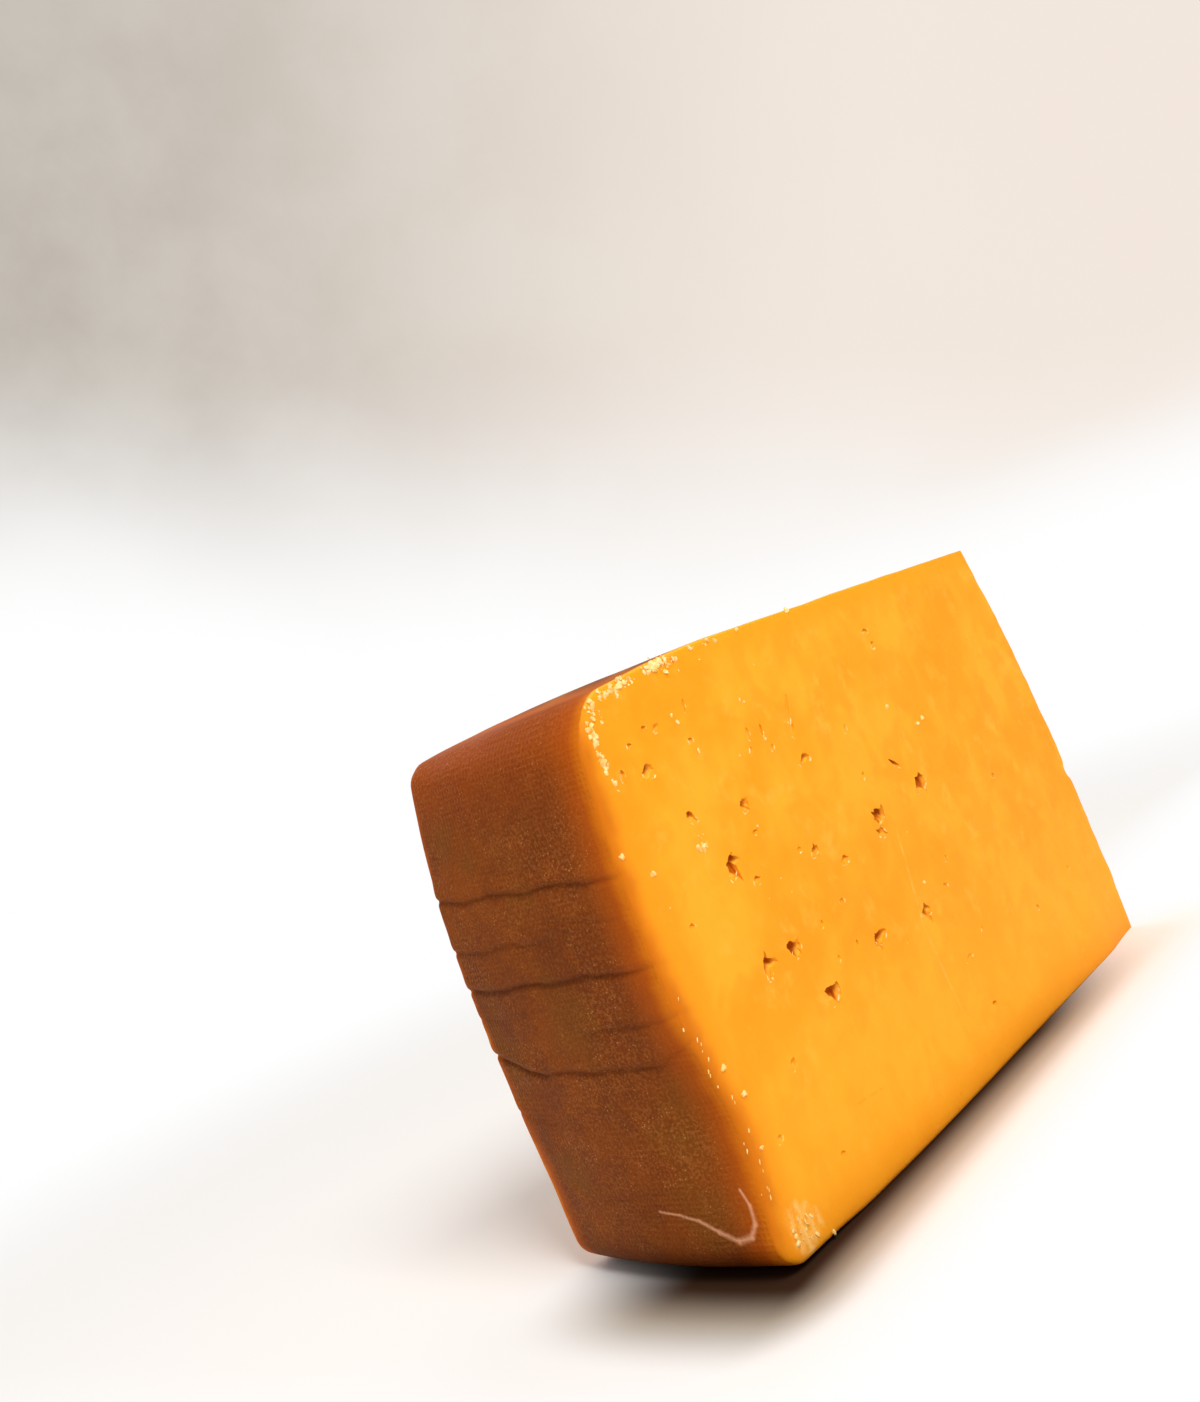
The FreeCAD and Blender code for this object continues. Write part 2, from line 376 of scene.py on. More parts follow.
def rim_relief(skin):
    """How far the rim stands out: lumps of the hand-packed curd, and the cloth's folds."""
    place = laid_flat(skin.arc, skin.height)
    relief = layers(place, RIM_LUMPS, 1)
    relief -= RIM_SINK * step(0, RIM_SINK_HEIGHT, skin.height)
    relief -= (PRESS_DEPTH * bump_at(skin.height, PRESS_HEIGHT, PRESS_RISE)
               * bump_at(skin.arc, 0, PRESS_ROUND))
    for held, off in fold_lines(skin, place):
        relief += held * MM * (FOLD_LIP_RISE * bump_at(off, FOLD_LIP, FOLD_LIP_WIDTH)
                               - bump_at(off, 0, FOLD_WIDTH))
    return relief


def fold_shade(skin):
    """How deep each point lies in a fold, 0 to 1: the mask of the painted shade in the folds."""
    painted_shade = sum(held / FOLD_FULL_SHADE * bump_at(off, -FOLD_SHADE_DROP, FOLD_SHADE_WIDTH)
                for held, off in fold_lines(skin, laid_flat(skin.arc, skin.height)))
    return np.clip(painted_shade, 0, 1) * step(-1 * MM, 0, -skin.under_rim)


def add_relief(piece):
    """Move each point out by the relief of the faces that it lies on or close under."""
    points = points_of(piece)
    skin = Skin(points)
    thin = 1 - step(*THIN_FADE, np.minimum(skin.along, skin.far_along))
    near = (1 - thin) * bump_at(skin.under_near, 0, CUT_REACH)
    far = (1 - thin) * bump_at(skin.under_far, 0, CUT_REACH)
    rim = bump_at(skin.under_rim, 0, RIM_REACH)
    off_rim = step(0, FLAT_FADE, skin.under_rim)
    top = bump_at(skin.under_top, 0, FLAT_REACH) * off_rim
    base = bump_at(skin.over_base, 0, FLAT_REACH) * off_rim

    out = rim * rim_relief(skin)
    points[:, 0] -= out * np.sin(skin.arc / BELLY_RADIUS)
    points[:, 1] -= out * np.cos(skin.arc / BELLY_RADIUS)

    # The cuts, with the long waves that the knife dragged and soft torn curd
    points[:, 0] += near * layers(laid_flat(skin.along, skin.height), KNIFE_DRAG, 11)
    spread = step(0, FLARE_FADES[0], FLARE_START - skin.along) * step(0, FLARE_FADES[1], skin.along)
    points[:, 0] += (FOOT_FLARE * bump_at(skin.under_near, 0, CUT_REACH) * spread
                     * (1 - step(0, FLARE_HEIGHT, skin.height)))
    out = far * layers(laid_flat(skin.far_along, skin.height), KNIFE_DRAG, 21)
    points[:, 0] -= out * math.cos(WEDGE_ANGLE)
    points[:, 1] += out * math.sin(WEDGE_ANGLE)

    # The flats, with slow lumps and the puckers of the cloth. The base doesn't sink into what it stands on
    points[:, 2] += top * layers(points * (1, 1, 0), FLAT_LUMPS, 31)
    lift = np.clip(layers(points * (1, 1, 0), FLAT_LUMPS, 41), 0, None)
    points[:, 2] += base * lift * step(0, BASE_FADE, skin.radius - BASE_FLAT)

    # The thin edge was torn a little as the knife came through
    ragged = layers(points * (0, 0, 1), THIN_EDGE_TEARS, 51)
    chip = CHIP_DEPTH * step(0, 1, bump_at(skin.height, CHIP_HEIGHT, CHIP_WIDTH))
    points[:, 1] -= thin * (ragged + chip)
    set_points(piece, points)


# ---------------------------------------------------------------- openings between the curds

# The near cut's openings: (from the axis, height, length, width, turn in degrees, arms), in millimetres
NEAR_OPENINGS = [
    (112.3, 59.7, 2.6, 1.6, 20, 1),
    (117.0, 60.6, 1.4, 0.8, 70, 1),
    (79.7, 52.8, 3.0, 1.3, 10, 1),
    (107.6, 52.6, 2.0, 1.3, -30, 1),
    (96.2, 51.1, 2.2, 1.2, 40, 2),
    (103.5, 45.0, 3.4, 1.5, 60, 3),
    (99.6, 41.9, 1.6, 1.0, 10, 1),
    (85.4, 41.3, 2.2, 1.1, 25, 2),
    (79.3, 38.1, 2.2, 1.0, 5, 1),
    (52.4, 41.6, 3.6, 1.9, 20, 2),
    (57.4, 46.3, 2.6, 0.8, -35, 1),
    (66.8, 40.9, 3.6, 1.6, 15, 3),
    (67.8, 38.6, 2.6, 1.2, -20, 2),
    (67.0, 54.2, 1.4, 0.8, 60, 1),
    (79.2, 60.0, 4.0, 0.9, 65, 1),
    (90.1, 59.2, 1.8, 0.7, 80, 1),
    (51.6, 66.0, 1.6, 0.8, 0, 1),
    (50.8, 63.7, 1.6, 0.9, 30, 1),
    (67.0, 47.0, 1.6, 0.7, 45, 1),
    (64.0, 25.3, 3.0, 1.3, 0, 2),
    (56.3, 26.6, 1.4, 0.9, 0, 1),
    (97.0, 31.9, 2.6, 1.7, 35, 3),
    (104.0, 32.0, 3.0, 1.5, 75, 2),
    (77.8, 26.4, 3.2, 1.5, 10, 2),
    (93.0, 24.1, 3.4, 1.8, 30, 3),
    (83.5, 33.7, 1.2, 0.7, 0, 1),
    (89.9, 32.6, 1.2, 0.7, 40, 1),
    (114.8, 41.2, 1.0, 0.8, 0, 1),
    (57.3, 15.6, 2.2, 0.8, 15, 1),
    (55.9, 8.1, 1.3, 0.8, 0, 1),
    (106.1, 20.3, 1.6, 1.0, 60, 1),
    (113.7, 14.2, 1.3, 0.8, 20, 1),
    (31.1, 14.5, 1.1, 0.8, 0, 1),
    (15.5, 16.2, 1.0, 0.7, 0, 1),
    (50.6, 17.7, 1.0, 0.7, 50, 1),
    (103.3, 7.4, 1.2, 0.7, 0, 1),
    (29.3, 36.7, 1.2, 0.8, 0, 1),
    (107.8, 64.4, 1.6, 0.7, 40, 1),
    (113.8, 63.6, 1.2, 0.6, 10, 1),
    (110.2, 64.9, 1.1, 0.6, 15, 1),
    (101.0, 65.7, 1.8, 0.6, 80, 1),
    (102.2, 61.3, 0.9, 0.7, 0, 1),
    (90.8, 57.0, 1.2, 0.6, 60, 1),
    (86.9, 58.9, 1.6, 0.6, 85, 1),
    (85.9, 56.2, 1.1, 0.6, 50, 1),
    (79.9, 57.0, 2.0, 0.8, 60, 1),
    (96.3, 47.4, 1.4, 0.6, 0, 1),
    (88.6, 42.6, 0.9, 0.7, 0, 1),
    (53.3, 30.1, 1.0, 0.7, 30, 1),
    (89.1, 27.4, 1.3, 0.7, 50, 1),
    (83.7, 27.6, 1.1, 0.7, 70, 1),
]
OPENING_SIZE = 1.08             # the tools are larger than the openings that they leave
OPENING_DEPTH = 1.1             # as a share of its width
OPENING_RISE = 0.16             # how far the tool's middle stands out of the cut, as a share of its width
OPENING_PINCH = 0.55            # how much thinner the tool is at its ends
OPENING_DENTS = [(0.5, 0.42), (0.25, 0.17)]     # depth and size, as shares of the tool
UNDERCUT = 0.9                  # how far the tool leans up for each step that it goes in
FINE_LENGTH = 1.7               # openings longer than this are worked finer
ARM_LENGTHS, ARM_SWING, ARM_SHIFT = (0.75, 1.0), 15, 0.3        # how far an opening's further arms vary

# The far cut's openings are scattered, in millimetres and degrees
FAR_OPENING_COUNT, FAR_OPENING_SPACING = 34, 4.5
FAR_OPENING_ALONG, FAR_OPENING_HEIGHTS = (22, 114, 88), (6, 66)         # lowest, highest, most often
FAR_OPENING_TURNS = -40, 80

# Seeds of the random draws
NEAR_TOOLS_SEED, FAR_TOOLS_SEED, FAR_PLACES_SEED, CRUMB_SEED = 3, 4, 7, 12


def opening_tool(draw, length, width):
    """One arm of an opening: a ball drawn out to pointed ends and dented all over."""
    bpy.ops.object.select_all(action="DESELECT")
    bpy.ops.mesh.primitive_ico_sphere_add(subdivisions=3 if length > FINE_LENGTH else 2, radius=0.5)
    tool = bpy.context.object
    ball = points_of(tool)
    seed = draw.uniform(0, 99)
    dents = 1
    for row, (depth, size) in enumerate(OPENING_DENTS):
        dents = dents + depth * cloud(ball, size, seed + row)
    ball[:, 0::2] *= 1 - OPENING_PINCH * np.abs(ball[:, 1:2] * 2) ** 1.5
    ball *= dents[:, None]
    set_points(tool, ball * (2 * OPENING_DEPTH * width * MM, length * MM, width * MM))
    return tool


def undercut(tool):
    """Lean a tool upwards as it goes in, so that the opening's upper lip hangs over it."""
    points = points_of(tool)
    points[:, 2] += UNDERCUT * np.clip(-points[:, 0], 0, None)
    set_points(tool, points)


def opening_tools(places, turn_in, seed):
    """The tools of one cut, in a list for each arm. Each is turned into the cut by turn_in."""
    draw = random.Random(seed)
    tools = [[], [], []]
    for along, height, length, width, angle, arms in places:
        length, width = OPENING_SIZE * length, OPENING_SIZE * width
        for arm in range(arms):
            tool = opening_tool(draw, length * draw.uniform(*ARM_LENGTHS) if arm else length, width)
            swing = draw.uniform(-ARM_SWING, ARM_SWING) if arm else 0
            tool.data.transform(Matrix.Rotation(math.radians(angle + arm * 180 / arms + swing), 4, "X"))
            undercut(tool)
            shift = Vector((OPENING_RISE * width * MM, 0, 0))
            if arm:
                aside, up = (draw.uniform(-ARM_SHIFT, ARM_SHIFT) for _ in range(2))
                shift += Vector((0, aside, up)) * length * MM
            tool.data.transform(Matrix.Translation(shift))
            tool.data.transform(turn_in(along * MM, height * MM))
            tools[arm].append(tool)
    return tools


def near_place(along, height):
    """Out of the near cut at a spot: X points out of it."""
    return Matrix.Translation((CUT_X, AXIS_Y - along, height))


def far_place(along, height):
    """Out of the far cut at a spot: X points out of it."""
    start = float(thin_edge_at(height))
    spot = Matrix.Translation((CUT_X - along * math.sin(WEDGE_ANGLE),
                               AXIS_Y - start - along * math.cos(WEDGE_ANGLE), height))
    return spot @ Matrix.Rotation(math.pi - WEDGE_ANGLE, 4, "Z")


def far_openings():
    """The far cut's openings, scattered as the near cut's are, and as uneven in size."""
    draw = random.Random(FAR_PLACES_SEED)
    places = []
    while len(places) < FAR_OPENING_COUNT:
        place = (draw.triangular(*FAR_OPENING_ALONG), draw.uniform(*FAR_OPENING_HEIGHTS))
        if all(math.dist(place, other[:2]) > FAR_OPENING_SPACING for other in places):
            _, _, length, width, _, arms = draw.choice(NEAR_OPENINGS)
            places.append((*place, length, width, draw.uniform(*FAR_OPENING_TURNS), arms))
    return places


def open_curds(cheese):
    """Take every opening out of both cuts, one arm of each at a time."""
    near = opening_tools(NEAR_OPENINGS, near_place, NEAR_TOOLS_SEED)
    far = opening_tools(far_openings(), far_place, FAR_TOOLS_SEED)
    for near_tools, far_tools in zip(near, far):
        joined = join(near_tools + far_tools)
        only(cheese)
        take = cheese.modifiers.new("openings", "BOOLEAN")
        take.operation = "DIFFERENCE"
        take.object = joined
        take.solver = "MANIFOLD"
        bpy.ops.object.modifier_apply(modifier=take.name)
        bpy.data.objects.remove(joined)


# The rind is gone between these depths, and it starts between these distances from a cut
RIND_DEPTH, RIND_FROM_CUT = (0.9 * MM, 1.6 * MM), (0.25 * MM, 0.9 * MM)


def mark_cheese(cheese):
    """Tell each point whether it is rind, how far it is under each skin, and how deep it lies in a fold,
    for the painted shade there.
    """
    skin = Skin(points_of(cheese), relieved=True)
    rind = (1 - step(*RIND_DEPTH, skin.under_rind)) * step(*RIND_FROM_CUT, skin.under_cut)
    store(cheese, "rind", rind)
    store(cheese, "under_rim", skin.under_rim / MM)
    # the mask of the painted shade in the folds
    store(cheese, "fold", fold_shade(skin))
    store(cheese, "under_cut", skin.under_cut / MM)
    store(cheese, "arc", skin.arc)


def make_cheese():
    """The whole wedge: a block bent to shape, given its relief, and opened."""
    cheese = make_block()
    refine_rim(cheese)
    set_points(cheese, bend_to_wedge(points_of(cheese)))
    face_outwards(cheese)
    add_relief(cheese)
    open_curds(cheese)
    mark_cheese(cheese)
    only(cheese)
    bpy.ops.object.shade_smooth_by_angle(angle=CUT_SMOOTHNESS)
    return cheese


# ---------------------------------------------------------------- crumbs

# Crumbs one by one on the near cut: (from the axis, height, size), in millimetres
LONE_CRUMBS = [
    (119.6, 63.0, 1.3), (111.5, 70.9, 1.1), (104.3, 71.6, 1.6), (102.6, 71.9, 1.2), (84.0, 72.6, 0.8),
    (70.4, 72.8, 1.0), (122.2, 52.3, 0.9), (118.2, 49.0, 1.1), (116.9, 21.4, 1.1), (117.4, 15.0, 0.9),
    (50.8, 1.0, 2.7), (52.8, 1.1, 1.5), (49.4, 0.8, 1.2), (110.4, 0.9, 0.8), (96.0, 0.6, 0.7),
    (44.6, 50.4, 0.9), (46.4, 50.0, 0.6), (118.7, 25.4, 1.0),
]
# Drifts of fine crumbs: (from the axis, height, spread along, spread up, how many), in millimetres
DRIFTS = [
    (119.4, 63.6, 0.35, 0.9, 30), (119.3, 66.6, 0.4, 0.8, 36), (117.9, 69.0, 0.5, 0.5, 24),
    (113.6, 70.3, 1.0, 0.35, 34), (110.4, 71.0, 0.9, 0.3, 26), (104.6, 71.5, 1.1, 0.3, 36),
    (101.4, 71.6, 1.3, 0.5, 32), (118.8, 60.4, 0.3, 0.9, 9), (95.0, 72.2, 3.0, 0.25, 8),
    (107.4, 49.3, 0.5, 0.7, 16), (75.0, 36.0, 22.0, 16.0, 12), (99.0, 53.0, 9.0, 9.0, 10),
    (117.4, 4.4, 0.25, 1.1, 7), (116.0, 4.2, 0.25, 1.2, 8), (114.7, 3.8, 0.25, 1.1, 7),
    (113.3, 3.4, 0.2, 0.9, 5),
]
# Sizes from here on are in millimetres too
COARSE_KINDS, FINE_KINDS = 5, 6         # how many different grains there are
GRAIN_WIDTH, GRAIN_HEIGHTS = 0.55, (0.55, 0.9)      # as shares of a grain's length
GRAIN_LUMPS, GRAIN_LUMP_SIZE = 0.7, 0.5
FINE_SIZE, FINE_SIZE_SPREAD = 0.22, 0.8
CRUMB_TILT, CRUMB_CLEAR = 0.5, 0.4      # in radians, and as a share of its size above the floor
CRUMB_TUCK, CRUMB_TUCK_REACH = 0.6, 1.2         # how far a crumb past the cut's edge is tucked in
EDGE_OVERHANG = 0.4             # how far over the cut's edge a crumb may lie
FLAKE_SIZES, FLAKE_STRETCH = (0.16, 0.36), 2.4
FLAKES_FOR_LENGTH = 3.0         # round an opening, for each millimetre of its length
FLAKE_RING, FLAKE_HIGHEST = (0.95, 1.2), 0.2        # from its middle, as shares of the opening
EDGE_FLAKE_COUNT = 26           # along the edge of the near cut with the rim
EDGE_FLAKE_HEIGHTS, EDGE_FLAKE_DEPTH, EDGE_FLAKE_TURN = (8, 36), 1.2, math.radians(70)


def near_edge(height):
    """How far from the axis the rim meets the near cut at a height, all in millimetres."""
    spot = Skin(np.array([[CUT_X, AXIS_Y - BELLY_RADIUS, height * MM]]))
    return float(rim_radius(height * MM) + rim_relief(spot)[0]) / MM


def on_near_cut(along, height):
    """Whether a spot in millimetres is on the near cut, or hardly over its edge."""
    to_rim = near_edge(height) - along
    to_top = float(top_height(along * MM)) / MM - height
    shoulder = TOP_SHOULDERS[0] / MM
    over = math.hypot(max(shoulder - to_rim, 0), max(shoulder - to_top, 0))
    inside = min(to_rim, to_top) > -EDGE_OVERHANG and min(height, along) > 0
    return inside and over < shoulder + EDGE_OVERHANG


def make_grain(draw, rounds):
    """A broken grain of curd, one across."""
    bpy.ops.object.select_all(action="DESELECT")
    bpy.ops.mesh.primitive_ico_sphere_add(subdivisions=rounds, radius=0.5)
    grain = bpy.context.object
    ball = points_of(grain)
    ball *= (1 + GRAIN_LUMPS * cloud(ball, GRAIN_LUMP_SIZE, draw.uniform(0, 99)))[:, None]
    set_points(grain, ball * (GRAIN_WIDTH, 1.0, draw.uniform(*GRAIN_HEIGHTS)))
    return grain


def lay_crumb(draw, kinds, along, height, size, place=near_place, turn=None, stretch=1.0):
    """A copy of one of the grains, lying against a cut: turned any way, or to a given turn."""
    crumb = draw.choice(kinds).copy()
    crumb.data = crumb.data.copy()
    bpy.context.collection.objects.link(crumb)
    crumb.data.transform(Matrix.Diagonal((size * MM, stretch * size * MM, size * MM, 1)))
    crumb.data.transform(Matrix.Rotation(draw.uniform(0, math.tau) if turn is None else turn, 4, "X"))
    crumb.data.transform(Matrix.Rotation(draw.uniform(-CRUMB_TILT, CRUMB_TILT) / stretch, 4, "Z"))
    crumb.data.transform(place(along * MM, max(height, CRUMB_CLEAR * size) * MM))
    if place is near_place:
        past_edge = min(max(along - near_edge(height) + CUT_EDGE_ROUND / MM, 0), CRUMB_TUCK_REACH)
        crumb.data.transform(Matrix.Translation((-CRUMB_TUCK * past_edge * MM, 0, 0)))
    return crumb


def lay_flakes(draw, kinds, openings, place):
    """Slivers of torn curd along the lower lips of the openings."""
    flakes = []
    for along, height, length, width, angle, _ in openings:
        lean = Matrix.Rotation(math.radians(angle), 2)
        for _ in range(round(FLAKES_FOR_LENGTH * length)):
            turn = draw.uniform(0, math.tau)
            out = draw.uniform(*FLAKE_RING)
            spot = lean @ Vector((0.5 * length * math.cos(turn), 0.5 * width * math.sin(turn))) * out
            run = lean @ Vector((-length * math.sin(turn), width * math.cos(turn)))
            if spot.y < FLAKE_HIGHEST * width:
                flakes.append(lay_crumb(draw, kinds, along - spot.x, height + spot.y,
                                        draw.uniform(*FLAKE_SIZES), place,
                                        math.atan2(run.y, run.x), FLAKE_STRETCH))
    return flakes


def make_crumbs():
    """All the crumbs and flakes that cling to the wedge, as one piece."""
    draw = random.Random(CRUMB_SEED)
    coarse = [make_grain(draw, rounds=2) for _ in range(COARSE_KINDS)]
    fine = [make_grain(draw, rounds=1) for _ in range(FINE_KINDS)]
    crumbs = [lay_crumb(draw, coarse, *crumb) for crumb in LONE_CRUMBS]
    for along, height, spread_along, spread_up, count in DRIFTS:
        for _ in range(count):
            spot = draw.gauss(along, spread_along), draw.gauss(height, spread_up)
            if on_near_cut(*spot):
                size = FINE_SIZE + FINE_SIZE_SPREAD * draw.random() ** 2
                crumbs.append(lay_crumb(draw, fine, *spot, size))
    for _ in range(EDGE_FLAKE_COUNT):
        height = draw.uniform(*EDGE_FLAKE_HEIGHTS)
        along = near_edge(height) - draw.uniform(0, EDGE_FLAKE_DEPTH)
        crumbs.append(lay_crumb(draw, fine, along, height, draw.uniform(*FLAKE_SIZES),
                                near_place, EDGE_FLAKE_TURN, FLAKE_STRETCH))
    crumbs += lay_flakes(draw, fine, NEAR_OPENINGS, near_place)
    crumbs += lay_flakes(draw, fine, far_openings(), far_place)
    for kind in coarse + fine:
        bpy.data.objects.remove(kind)
    joined = join(crumbs)
    joined.name = "crumbs"
    settle(joined)
    bpy.ops.object.shade_smooth_by_angle(angle=CRUMB_SMOOTHNESS)
    return joined


# ---------------------------------------------------------------- materials

def colour(red, green, blue):
    """A colour given as it looks on a screen, 0 to 255, made linear."""
    def linear(value):
        """One channel from 0 to 255, made linear."""
        value /= 255
        return value / 12.92 if value <= 0.04045 else ((value + 0.055) / 1.055) ** 2.4
    return (linear(red), linear(green), linear(blue), 1.0)


class Tree:
    """A node tree with a short call for each node that it needs."""

    def __init__(self, tree):
        self.tree = tree

    def add(self, kind, inputs=(), **settings):
        """A new node, with its settings and what its inputs get."""
        node = self.tree.nodes.new(kind)
        for name, value in settings.items():
            setattr(node, name, value)
        for key, value in dict(inputs).items():
            self.feed(node.inputs[key], value)
        return node

    def feed(self, socket, value):
        """Link a socket to another one, or give it a plain value."""
        if isinstance(value, bpy.types.NodeSocket):
            self.tree.links.new(value, socket)
        else:
            socket.default_value = value

    def math(self, operation, first, second=0.0, third=0.0, clamp=False):
        """What one operation makes of its values."""
        return self.add("ShaderNodeMath", {0: first, 1: second, 2: third},
                        operation=operation, use_clamp=clamp).outputs[0]

    def times(self, *values):
        """The product of two values or more."""
        product = values[-1]
        for value in values[-2::-1]:
            product = self.math("MULTIPLY", value, product)
        return product

    def mix(self, share, first, second):
        """One colour, with another laid over it by a share."""
        return self.add("ShaderNodeMix", {0: share, 6: first, 7: second}, data_type="RGBA").outputs[2]

    def between(self, share, first, second):
        """The value that lies a share of the way from one to another."""
        return self.add("ShaderNodeMix", {0: share, 2: first, 3: second}).outputs[0]

    def ramp(self, value, low, high, out_low=0.0, out_high=1.0):
        """A smooth change from one output to another, while the value goes from low to high."""
        return self.add("ShaderNodeMapRange", {0: value, 1: low, 2: high, 3: out_low, 4: out_high},
                        interpolation_type="SMOOTHSTEP").outputs[0]

    def noise(self, place, size, detail=2.0, roughness=0.5, distortion=0.0):
        """Soft noise about 0.5, whose lumps are about a size across in the units of its place."""
        return self.add("ShaderNodeTexNoise", {
            "Vector": place, "Scale": 1 / size, "Detail": detail,
            "Roughness": roughness, "Distortion": distortion}).outputs["Fac"]

    def sway(self, noise, reach):
        """Noise about 0.5 made to wander about 0, within half its reach each way."""
        return self.math("MULTIPLY", self.math("SUBTRACT", noise, 0.5), reach)

    def axes(self, place):
        """The three numbers of a place."""
        return self.add("ShaderNodeSeparateXYZ", {0: place}).outputs

    def vector(self, operation, first, second):
        """The outputs of one operation on two vectors."""
        return self.add("ShaderNodeVectorMath", {0: first, 1: second}, operation=operation).outputs

    def attribute(self, name):
        """A number that the mesh keeps for each of its points."""
        return self.add("ShaderNodeAttribute", attribute_name=name).outputs["Fac"]

    def place_in_mm(self):
        """The place on the object, in millimetres."""
        where = self.add("ShaderNodeTexCoord").outputs["Object"]
        return self.add("ShaderNodeMapping", {"Vector": where, "Scale": (1000, 1000, 1000)}).outputs[0]

    def use(self, group, output, **inputs):
        """Place a shared group and return one of its outputs."""
        node = self.add("ShaderNodeGroup", node_tree=group)
        for key, value in inputs.items():
            self.feed(node.inputs[key], value)
        return node.outputs[output]

    def lay(self, tone, measures, rows):
        """Lay colours over a tone: (measure, its start and end, the strength at both, colour) each."""
        for measure, start, end, at_start, at_end, over in rows:
            tone = self.mix(self.ramp(measures[measure], start, end, at_start, at_end), tone, over)
        return tone


def new_material(name):
    """A new material, its tree, and its shader."""
    material = bpy.data.materials.new(name)
    material.use_nodes = True
    return material, Tree(material.node_tree), material.node_tree.nodes["Principled BSDF"]


def new_group(name, inputs, outputs):
    """An empty shader group with named inputs, each with its default, and named outputs."""
    group = bpy.data.node_groups.new(name, "ShaderNodeTree")
    for key, kind, default in inputs:
        socket = group.interface.new_socket(key, in_out="INPUT", socket_type="NodeSocket" + kind)
        socket.default_value = default
    for key in outputs:
        group.interface.new_socket(key, in_out="OUTPUT", socket_type="NodeSocketFloat")
    tree = Tree(group)
    return group, tree, tree.add("NodeGroupInput").outputs, tree.add("NodeGroupOutput").inputs


def mottle_group():
    """Two sizes of soft cloud, as a value about 0.5."""
    group, tree, given, out = new_group(
        "mottle", [("Place", "Vector", (0, 0, 0)), ("Size", "Float", 8.0), ("Fine", "Float", 0.35)],
        ["Value"])
    clouds = []
    for detail, finer in (2.0, 1.0), (3.0, 5.0):
        scale = tree.math("DIVIDE", finer, given["Size"])
        texture = tree.add("ShaderNodeTexNoise", {
            "Vector": given["Place"], "Detail": detail, "Scale": scale})
        clouds.append(texture.outputs["Fac"])
    tree.feed(out["Value"], tree.between(given["Fine"], *clouds))
    return group


def specks_group():
    """Scattered dots of uneven size: 1 in a dot and 0 between."""
    group, tree, given, out = new_group(
        "specks", [("Place", "Vector", (0, 0, 0)), ("Spacing", "Float", 1.0), ("Size", "Float", 0.2),
                   ("Share", "Float", 0.3)], ["Mask"])
    cells = tree.add("ShaderNodeTexVoronoi", {"Vector": given["Place"], "Randomness": 1.0,
                                              "Scale": tree.math("DIVIDE", 1.0, given["Spacing"])})
    chance = tree.add("ShaderNodeSeparateColor", {0: cells.outputs["Color"]})
    kept = tree.math("LESS_THAN", chance.outputs[0], given["Share"])
    size = tree.math("MULTIPLY", given["Size"], tree.math("ADD", 0.4, chance.outputs[1]))
    dot = tree.math("LESS_THAN", cells.outputs["Distance"], size)
    tree.feed(out["Mask"], tree.math("MULTIPLY", kept, dot))
    return group


def cloth_group():
    """The print of a plain-woven cloth: threads both ways, swelling where they cross."""
    group, tree, given, out = new_group(
        "cloth print", [("Round", "Float", 0.0), ("Up", "Float", 0.0), ("Pitch", "Float", 0.7)],
        ["Height"])
    turn = tree.math("DIVIDE", math.pi, given["Pitch"])
    threads = [tree.math("ABSOLUTE", tree.math("SINE", tree.math("MULTIPLY", given[way], turn)))
               for way in ("Round", "Up")]
    tree.feed(out["Height"], tree.math("MULTIPLY", *threads))
    return group


def scratch_group():
    """A thin line from one point to another: 1 along its middle, and 0 past its width."""
    group, tree, given, out = new_group(
        "scratch", [("Place", "Vector", (0, 0, 0)), ("Start", "Vector", (0, 0, 0)),
                    ("End", "Vector", (0, 0, 1)), ("Width", "Float", 0.3)], ["Mask"])
    run = tree.vector("SUBTRACT", given["End"], given["Start"])[0]
    reach = tree.vector("SUBTRACT", given["Place"], given["Start"])[0]
    share = tree.math("DIVIDE", tree.vector("DOT_PRODUCT", reach, run)["Value"],
                      tree.vector("DOT_PRODUCT", run, run)["Value"], clamp=True)
    nearest = tree.add("ShaderNodeVectorMath", {0: run, "Scale": share}, operation="SCALE").outputs[0]
    gap = tree.vector("DISTANCE", reach, nearest)["Value"]
    line = tree.math("SUBTRACT", 1.0, tree.math("DIVIDE", gap, given["Width"]), clamp=True)
    tree.feed(out["Mask"], line)
    return group


def shifted(tree, place):
    """The same place moved well away, so that a second pattern doesn't fall on the first."""
    return tree.add("ShaderNodeMapping", {"Vector": place, "Location": (311, 207, 119)}).outputs[0]


def near_mm(along, height):
    """A point on the near cut, in millimetres in the object's own frame."""
    return (CUT_X / MM, AXIS_Y / MM - along, height)


# In the looks, depths, heights and sizes are in millimetres, and noise goes from 0 to 1 about 0.5. A range
# of two numbers says where a measure starts and ends to tell, and one of four adds its output at both.

# The paste
PASTE_DARK, PASTE_LIGHT = colour(249, 155, 26), colour(253, 169, 40)
PASTE_MOTTLE, PASTE_MOTTLE_FINE, PASTE_MOTTLE_RANGE = 20.0, 0.3, (0.36, 0.64)
CURD_SIZE, PALE_CURD_SIZE = 9.0, 4.5
PASTE_CURDS = [
    ("curds", 0.46, 0.64, 0.0, 0.5, colour(245, 149, 22)),
    ("pale curds", 0.54, 0.76, 0.0, 0.5, colour(255, 182, 68)),
]
FLECKS = {"Spacing": 4.0, "Size": 0.07, "Share": 0.3}
# Tiny holes in the paste as dark dots: painted shade inside the holes
PINHOLE_SHADE_SPOTS = {"Spacing": 3.6, "Size": 0.06, "Share": 0.4}
FLECK_STRENGTH, FLECK_TONE = 0.6, colour(255, 214, 134)
PINHOLE_SHADE_STRENGTH, PINHOLE_SHADE_TONE = 0.7, colour(200, 106, 14)
EDGE_WANDER, EDGE_WANDER_SIZE = 3.0, 6.0
